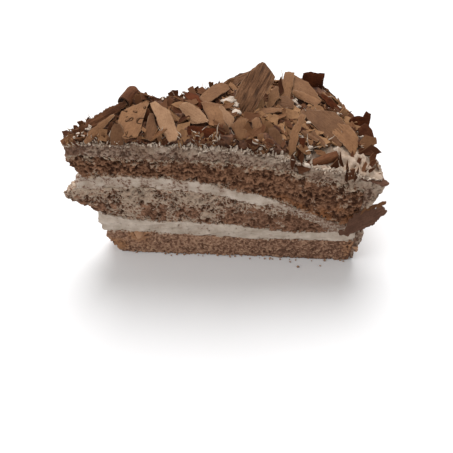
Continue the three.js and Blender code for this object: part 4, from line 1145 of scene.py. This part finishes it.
# Chips that stand in the bare cream at the front corner of the rim, given in the same way.
CORNER_CHIPS = [
    (117, -27.8, 61.6, 85, 70, 0, 5.5, 3.6, 0.1), (120.4, -25.7, 62, 95, 68, 8, 8, 2, 0.12),
    (121.4, -31, 59, 96, 78, 0, 5.6, 2.2, 0.05), (123, -31.8, 59, 88, 76, -5, 7.2, 2.8, 0.16),
    (124.9, -32.2, 59, 92, 80, 4, 7.2, 2.4, 0.08), (122.2, -28.6, 60.4, 100, 70, 10, 6, 1.8, 0.2),
    (126, -22.9, 60.6, 60, 30, 0, 5, 1.8, 0.2), (127.7, -25.7, 60, 40, 20, 30, 4.6, 1.8, 0.12),
    (131, -30.4, 58.8, 15, 20, 50, 6.5, 2, 0.1), (133.5, -26.8, 58.4, 40, 20, 40, 5.5, 2.2, 0.15),
    (133, -20, 59.4, -20, -10, 30, 6, 3, 0.1), (135.3, -22.8, 58, 40, 20, 40, 5.5, 2.4, 0.15),
    (129.4, -28.6, 59.4, 50, 15, 20, 5, 1.5, 0.3), (136.6, -26, 56, 70, -20, 60, 5, 2.6, 0.1),
    (100, -25.3, 65.6, 80, 66, 0, 6, 2.2, 0.1), (104, -24.2, 65.2, 75, 62, 0, 5.5, 2, 0.2),
    (94, -22.2, 68.6, 88, 66, 0, 6, 1.8, 0.16), (85.5, -20.6, 71.4, 92, 70, 0, 6, 1.8, 0.1),
]


def resting(x, y, z, most):
    """A place, lowered where needed so that nothing floats above the heap or the cream."""
    out, turn = math.hypot(x, y), math.degrees(math.atan2(y, x))
    ground = heap_top(out, turn) if turn > heap_front(out) else cream_height(out, turn)
    return x, y, min(z, float(ground) + most)


middle_random = np.random.default_rng(77)
parts, covered = [], np.zeros(len(core_points), bool)
for x, y, z, *lie, length, width, tone in MIDDLE_SHAVINGS + CORNER_CHIPS + LOW_FRINGE:
    points, faces, paint = shard(middle_random, length * 1.12, width * 1.12, 0.25, 0)
    x, y, z = resting(x, y, z, 1.8)
    parts.append((laid(points, (x, y, z), lie), faces, paint["edge"], np.full(len(points), tone)))
    half_length, half_width = length / 2 + 0.5, width / 2 + 0.3
    square = [(-half_length, -half_width, half_width), (half_length, -half_width, half_width)]
    covered |= under_flake(core_points, (x, y, z), lie, square)
covered |= (hump(out, 124, 4) * hump(turn, 8.5, 2.2) > 0.5) & (up > 0.99)  # under a dark flake
at_cuts = ((across < 0.02) | (across > 0.98)) & (up > 0.1)
for name, tone, at, lie, bend, curl, outline in LARGE_SHAVINGS:
    if abs(curl) < 100:
        covered |= under_flake(core_points, at, lie, outline)
    ends = laid(np.array([(a, (b + c) / 2, 0) for a, b, c in (outline[0], outline[-1])]), at, lie)
    for x, y, z in ends:
        foot = math.hypot(x, y)
        if math.degrees(math.atan2(y, x)) < -SLICE_ANGLE / 2 + 180 / foot and z > cream_level(foot):
            reach = 0.42 * (max(row[2] for row in outline) - min(row[1] for row in outline))
            at_cuts &= (np.abs(out - foot) > reach) | (across > 0.5)  # no slivers before its foot


def joined(parts):
    """One set of points, faces and paint from several."""
    starts = np.cumsum([0] + [len(part[0]) for part in parts[:-1]])
    faces = np.concatenate([part[1] + start for part, start in zip(parts, starts)])
    return [np.concatenate([part[0] for part in parts]), faces] + [
        np.concatenate(values) for values in zip(*[part[2:] for part in parts])
    ]


def shard_finish(name, darkest, dark, middle, light, fresh):
    """Broken chocolate: each piece has a tone of its own, with a paler rim, partly bloom and
    partly a painted highlight.
    """
    finish = Finish(name, roughness=0.68, gloss=0.08)
    face = finish.blend(finish.ramp("tone", 0.05, 0.15), darkest, dark)
    face = finish.blend(finish.ramp("tone", 0.2, 0.45), face, middle)
    face = finish.blend(finish.ramp("tone", 0.45, 1.0), face, light)
    face = finish.blend(finish.clouds(2.5, 0.4, 0.7, 0.0, 0.35), face, fresh)
    face = finish.blend(finish.clouds(0.6, 0.5, 0.8, 0.0, 0.4), face, fresh)
    # The paler rim: partly bloom, partly a painted highlight.
    finish.coat_with(finish.blend(finish.ramp("edge", 0.7, 1.0, 0.0, 0.2), face, light))
    finish.relief(finish.noise(0.8, 3.0), 0.15, 0.5)
    return finish.material


small_chocolate = shard_finish("small_shaving_chocolate", "30170c", "4d2c1a", "704d34", "9d7755", "4d2e1c")
points, faces, edges, tones = joined(parts)
middle_shavings = make_piece(
    "middle_shavings", points, faces, small_chocolate, crease=20, edge=edges, tone=tones
)
settle(middle_shavings, "chocolate_small", "shavings_heap")
on_top = (up > 0.99) & ~covered
# Painted shade: the small shavings are darker near the tip, towards both cuts short of the rim, and at the
# back by the rim.
dark_back = (1 - soft_step(out, 65, 90)) * soft_step(turn, 2, 8)
dark_front = 0.75 * (1 - soft_step(out, 80, 100)) * soft_step(-turn, 6, 11)
shade = dark_back + dark_front + 0.7 - 0.7 * soft_step(out, 24, 40)
lightness = (0.85 + 0.15 * soft_step(out, 80, 105)) * (1 - 0.6 * np.clip(shade, 0, 1))
lightness *= 1 - 0.75 * soft_step(turn, 5, 8) * hump(out, 127, 9)
small_kinds = kinds_of("small_shaving", shards(16, (4, 8.5), (1.4, 3), 0.25, 0.5, 31))
small_shavings = scatter(
    "small_shavings", heap_core, on_top, lightness, small_kinds, small_chocolate,
    per_square_metre=190000.0, smallest=0.55, largest=1.1, tilt=0.3, seed=5,
)
settle(small_shavings, "chocolate_small", "shavings_heap")


# ---- Shavings cut through with the slice ----------------------------------------------
# Where the knife came down through the heap, the cut ends of small flakes stand dark along
# the top of both cuts.
sliver_kinds = kinds_of("cut_sliver", shards(8, (2.6, 4.8), (2, 3.6), 0.4, 0.1, 41))
cut_chocolate = shard_finish("cut_chocolate", "341a0e", "4e2c1b", "6a4731", "96714f", "3a1e11")
cut_slivers = scatter(
    "cut_slivers", heap_core, at_cuts, 1 + 0 * out, sliver_kinds, cut_chocolate,
    per_square_metre=520000.0, smallest=0.6, largest=1.2, tilt=0.5, upright=1.0, spin=0.14, seed=8,
)
settle(cut_slivers, "chocolate_dark", "shavings_heap")


# ---- Tufts and dabs of cream ----------------------------------------------------------
# The knife and the flakes pull the soft cream up into small points all along the cuts, and
# drops of it sit between the shavings.
RING_POINTS = 5


def tuft(random, length, radius, hook, lift):
    """A pulled-up point of cream: a tapering spike that hooks over."""
    share = np.repeat([0, 0.3, 0.6, 0.85], RING_POINTS)
    around = np.tile(np.arange(RING_POINTS), 4) * 2 * math.pi / RING_POINTS + 1.5 * share
    thick = radius * (1 - share**1.6) * random.uniform(0.7, 1.3, len(share))
    points = np.stack([length * share, thick * np.cos(around), thick * np.sin(around)], axis=1)
    points = np.concatenate([points, [[length, 0, 0], [0, 0, 0]]])
    along = points[:, 0] / length
    points[:, 1] += hook * length * along**2 + 0.12 * length * np.sin(6 * along) * random.uniform(-1, 1)
    points[:, 2] += lift + 0.35 * length * along**2
    faces, tip = [], len(points) - 2
    for n, ring in itertools.product(range(RING_POINTS), range(4)):
        a, b = ring * RING_POINTS + n, ring * RING_POINTS + (n + 1) % RING_POINTS
        if ring < 3:
            faces += [(a, b, b + RING_POINTS), (a, b + RING_POINTS, a + RING_POINTS)]
        else:
            faces.append((a, b, tip))
        if ring == 0:
            faces.append((b, a, tip + 1))
    # The rise runs from the foot to the tip, so the foot takes painted shade.
    return points, np.array(faces), {"rise": along, "crumbed": 0 * along + 0.1, "ragged": 0 * along + 1}


def tufts(number, lengths, radius, seed):
    random = np.random.default_rng(seed)
    made = []
    for _ in range(number):
        length = random.uniform(*lengths)
        thick = radius * random.uniform(0.7, 1.3)
        made.append(tuft(random, length, thick, random.uniform(-0.5, 0.5), 0.2))
    return made


def round_lump(cells):
    """A ball of radius 1 with so many cells along each side of it, as points and faces."""
    corners, faces = block_shell((cells, cells, cells))
    unit = corners * 2 / cells - 1.0
    return unit / np.linalg.norm(unit, axis=1)[:, None], faces


# Drops of cream: x, y and height of the middle, then length, width and height.
CREAM_DABS = [
    (79.7, 3.4, 76.8, 5, 3, 2), (82.5, 1.5, 76.6, 3, 2.4, 1.6), (81.5, -4.7, 76.4, 3.4, 2.6, 1.8),
    (76, 16.6, 79, 2, 1.6, 2.4), (83, 17, 79, 2, 1.6, 1.4), (134.5, -10.5, 59.4, 2.6, 2, 1.6),
    (107.4, -22.4, 66.4, 3, 2.2, 2.2), (105.5, -27, 63.6, 2.4, 1.6, 1.6),
    (70, -17, 73, 2, 1.2, 1.4), (78.5, -19, 75, 2.4, 1.2, 2), (21.9, -1.3, 76.4, 2.2, 1, 1.2),
    (16.2, -3, 75.6, 1.6, 1, 1), (108.9, 6.8, 68, 4, 1.5, 1.6), (110, 4.6, 67.6, 2.8, 1.2, 1.4),
    (62, 8, 79, 2.4, 1, 1), (129, 6.5, 62.4, 2.2, 1, 1.2), (88, -21, 71, 2.2, 1.2, 1.8),
    (96, -22.6, 68.4, 1.8, 1.2, 2), (112, -5.1, 66.4, 2.4, 1.4, 1.2), (120, -18, 62, 4.5, 3, 1.6),
    (127.2, 0.9, 63, 2.8, 1.4, 1.2), (49, 7, 80, 1.6, 1.2, 1), (53, 9, 79, 2, 0.9, 0.9),
    (86, -20.6, 74.3, 2.8, 2, 1.8), (71.4, -18, 73.3, 3, 1.4, 1.4),
    (106, -14.6, 67.7, 2.6, 1.4, 1.4), (108.3, -19.4, 66, 3.2, 2, 1.6),
    (110.5, 10.7, 65.7, 2.6, 0.9, 1), (95.8, -23.9, 67.6, 2.6, 1.2, 1.6),
    (92.3, -21.7, 71.1, 2.2, 1, 1.6), (22.5, 0.3, 75.8, 2.8, 1.2, 1),
    (32.3, -6.8, 75.3, 1.8, 0.8, 1.2), (17.5, -1.8, 75, 2.4, 1.2, 1.2), (19.5, -3.6, 75, 2, 1, 1.2),
    (26.5, -5, 75.4, 2.2, 0.9, 1.2), (122.6, -32.8, 24, 5, 0.9, 1), (127, -33.2, 25.2, 4, 1.1, 1.2),
    (130.5, -33.8, 26.4, 4, 0.9, 1),
]
# A paler cream for the tufts and strands, which stand in the shade of the cuts: painted light.
painted_lit_cream = cream_finish("painted_lit_cream", "cfc0b0", "b3a08d", "937a66", "6b4a37")
parts = []
unit, faces = round_lump(7)
for number, (x, y, z, length, width, tall) in enumerate(CREAM_DABS):
    pulled = 1 + 0.55 * uneven(unit + number, 0.9, 801) + 0.3 * uneven(unit + number, 0.4, 802)
    ball = unit * pulled[:, None] * [length / 2, width / 2, tall / 2]
    points = laid(ball, resting(x, y, z, 0.7), (number * 70, 0, 0))
    # The rise follows the height within each drop, so its underside takes painted shade.
    parts.append((points, faces, 0.6 + 0.4 * unit[:, 2], 0 * unit[:, 0] + 0.3, 0 * unit[:, 0] + 1))
points, faces, rise, crumbed, ragged = joined(parts)
cream_dabs = make_piece("cream_dabs", points, faces, whipped_cream, rise=rise, crumbed=crumbed, ragged=ragged)
settle(cream_dabs, "cream", "cream_top")
tuft_kinds = kinds_of("cream_tuft", tufts(12, (1.4, 3.2), 0.42, 61))
cream_tufts = scatter(
    "cream_tufts", top_cream, cream_tuft_cover, cream_tuft_cover, tuft_kinds, painted_lit_cream,
    per_square_metre=1100000.0, smallest=0.6, largest=1.3, tilt=0.5, upright=1.0, spin=0.2, seed=17,
)
settle(cream_tufts, "cream", "cream_top")
strand_kinds = kinds_of("cream_strand", tufts(8, (2.4, 5), 0.26, 71))
strand_cover = (at_cuts & (out > 20)) + 0.12 * (on_top & ((out > 78) | (out < 36)))
cream_strands = scatter(
    "cream_strands", heap_core, strand_cover, 1 + 0 * out, strand_kinds, painted_lit_cream,
    per_square_metre=210000.0, smallest=0.7, largest=1.4, tilt=0.5, upright=1.0, spin=0.25, seed=23,
)
settle(cream_strands, "cream")


# ---- Crumbs ---------------------------------------------------------------------------
# Crumbs of the bottom sponge, fallen at the foot of the cuts.
crumb_random = np.random.default_rng(55)
parts = []
fallen = [(101.8, -28.2, 0.8, 0), (104.8, -31.7, 1.2, 0), (115.2, -33.2, 0.7, 0)]
# Larger lumps are pressed against the cut.
fallen += [(33.4, -8.6, 4.4, 13), (131.4, -32.2, 2.6, 9), (132.4, -32.2, 2, 6)]
for out_from_middle, from_cut, size in crumb_random.uniform((26, 0.2, 0.4), (134, 1.8, 1.2), (70, 3)):
    sign = crumb_random.choice([-1, 1])
    place = along_slice(out_from_middle, sign * SLICE_ANGLE / 2, 0, sign * from_cut)
    fallen.append((place[0], place[1], size, 0))
unit, faces = round_lump(3)
for number, (x, y, size, height) in enumerate(fallen):
    lump = unit * (1 + 0.45 * uneven(unit + number, 0.9, 811))[:, None] * size / 2
    points = lump + [x, y, height + size * 0.35]
    # The rise follows the height round each crumb, so it takes a painted highlight on top and painted shade
    # beneath; pressed lumps take the light colour all over.
    parts.append((points, faces, 0.5 + 0.5 * unit[:, 2], 0 * unit[:, 0] + (height > 0)))
points, faces, rise, pressed = joined(parts)
points[:, 2] = np.clip(points[:, 2], 0, None)
loose_crumbs = make_piece(
    "loose_crumbs", points, faces, bottom_sponge.data.materials[0],
    rise=np.maximum(rise, pressed), smear=0 * rise, warm=0.35 * pressed, ragged=0 * rise + 1,
)
settle(loose_crumbs, "sponge_light")


# ---- Floor, light and camera ----------------------------------------------------------
# A plain pale floor under soft studio light that falls mostly from above and behind, so
# the front cut stands in gentle shade. The camera looks down on the slice from the front.
FLOOR_SIZE = 6.0  # metres
CAMERA_LENS, CAMERA_SENSOR = 48.504, 36.0  # millimetres
CAMERA_PLACE = (-0.02448, -0.18905, 0.23912)
CAMERA_RIGHT = (0.9841, -0.1756, -0.0277)
CAMERA_UP = (0.1539, 0.7637, 0.6269)
CAMERA_FORWARD = (0.0890, 0.6212, -0.7786)

floor_finish = Finish("pale_floor", roughness=0.7, gloss=0.2)
floor_finish.coat_with(floor_finish.blend(floor_finish.noise(90.0, 2.0), "e9e9ea", "e4e4e6"))
bpy.ops.mesh.primitive_plane_add(size=FLOOR_SIZE, location=(0, 0, -0.0002))
floor = bpy.context.active_object
floor.name = "floor"
floor.data.materials.append(floor_finish.material)

camera_data = bpy.data.cameras.new("camera")
camera_data.sensor_width = CAMERA_SENSOR
camera_data.lens = CAMERA_LENS
camera = bpy.data.objects.new("camera", camera_data)
bpy.context.scene.collection.objects.link(camera)
turned = Matrix((CAMERA_RIGHT, CAMERA_UP, [-part for part in CAMERA_FORWARD])).transposed()
camera.matrix_world = Matrix.LocRotScale(Vector(CAMERA_PLACE), turned.to_quaternion(), None)
bpy.context.scene.camera = camera


def soft_light(name, place, size, power, aim=(0, 0, 0.03)):
    lamp = bpy.data.lights.new(name, "AREA")
    lamp.shape = "DISK"
    lamp.size = size
    lamp.energy = power
    light = bpy.data.objects.new(name, lamp)
    light.location = place
    light.rotation_euler = (Vector(aim) - Vector(place)).to_track_quat("-Z", "Y").to_euler()
    bpy.context.scene.collection.objects.link(light)


soft_light("overhead_light", (0.15, 0.75, 1.5), 1.1, 28)
soft_light("side_light", (-1.0, -0.2, 1.2), 0.8, 5)
surroundings = bpy.data.worlds.new("surroundings")
bpy.context.scene.world = surroundings
surroundings.use_nodes = True
background = surroundings.node_tree.nodes["Background"].inputs
background["Color"].default_value = (1.0, 0.985, 0.96, 1)
background["Strength"].default_value = 0.58
bpy.context.scene.view_settings.view_transform = "Standard"
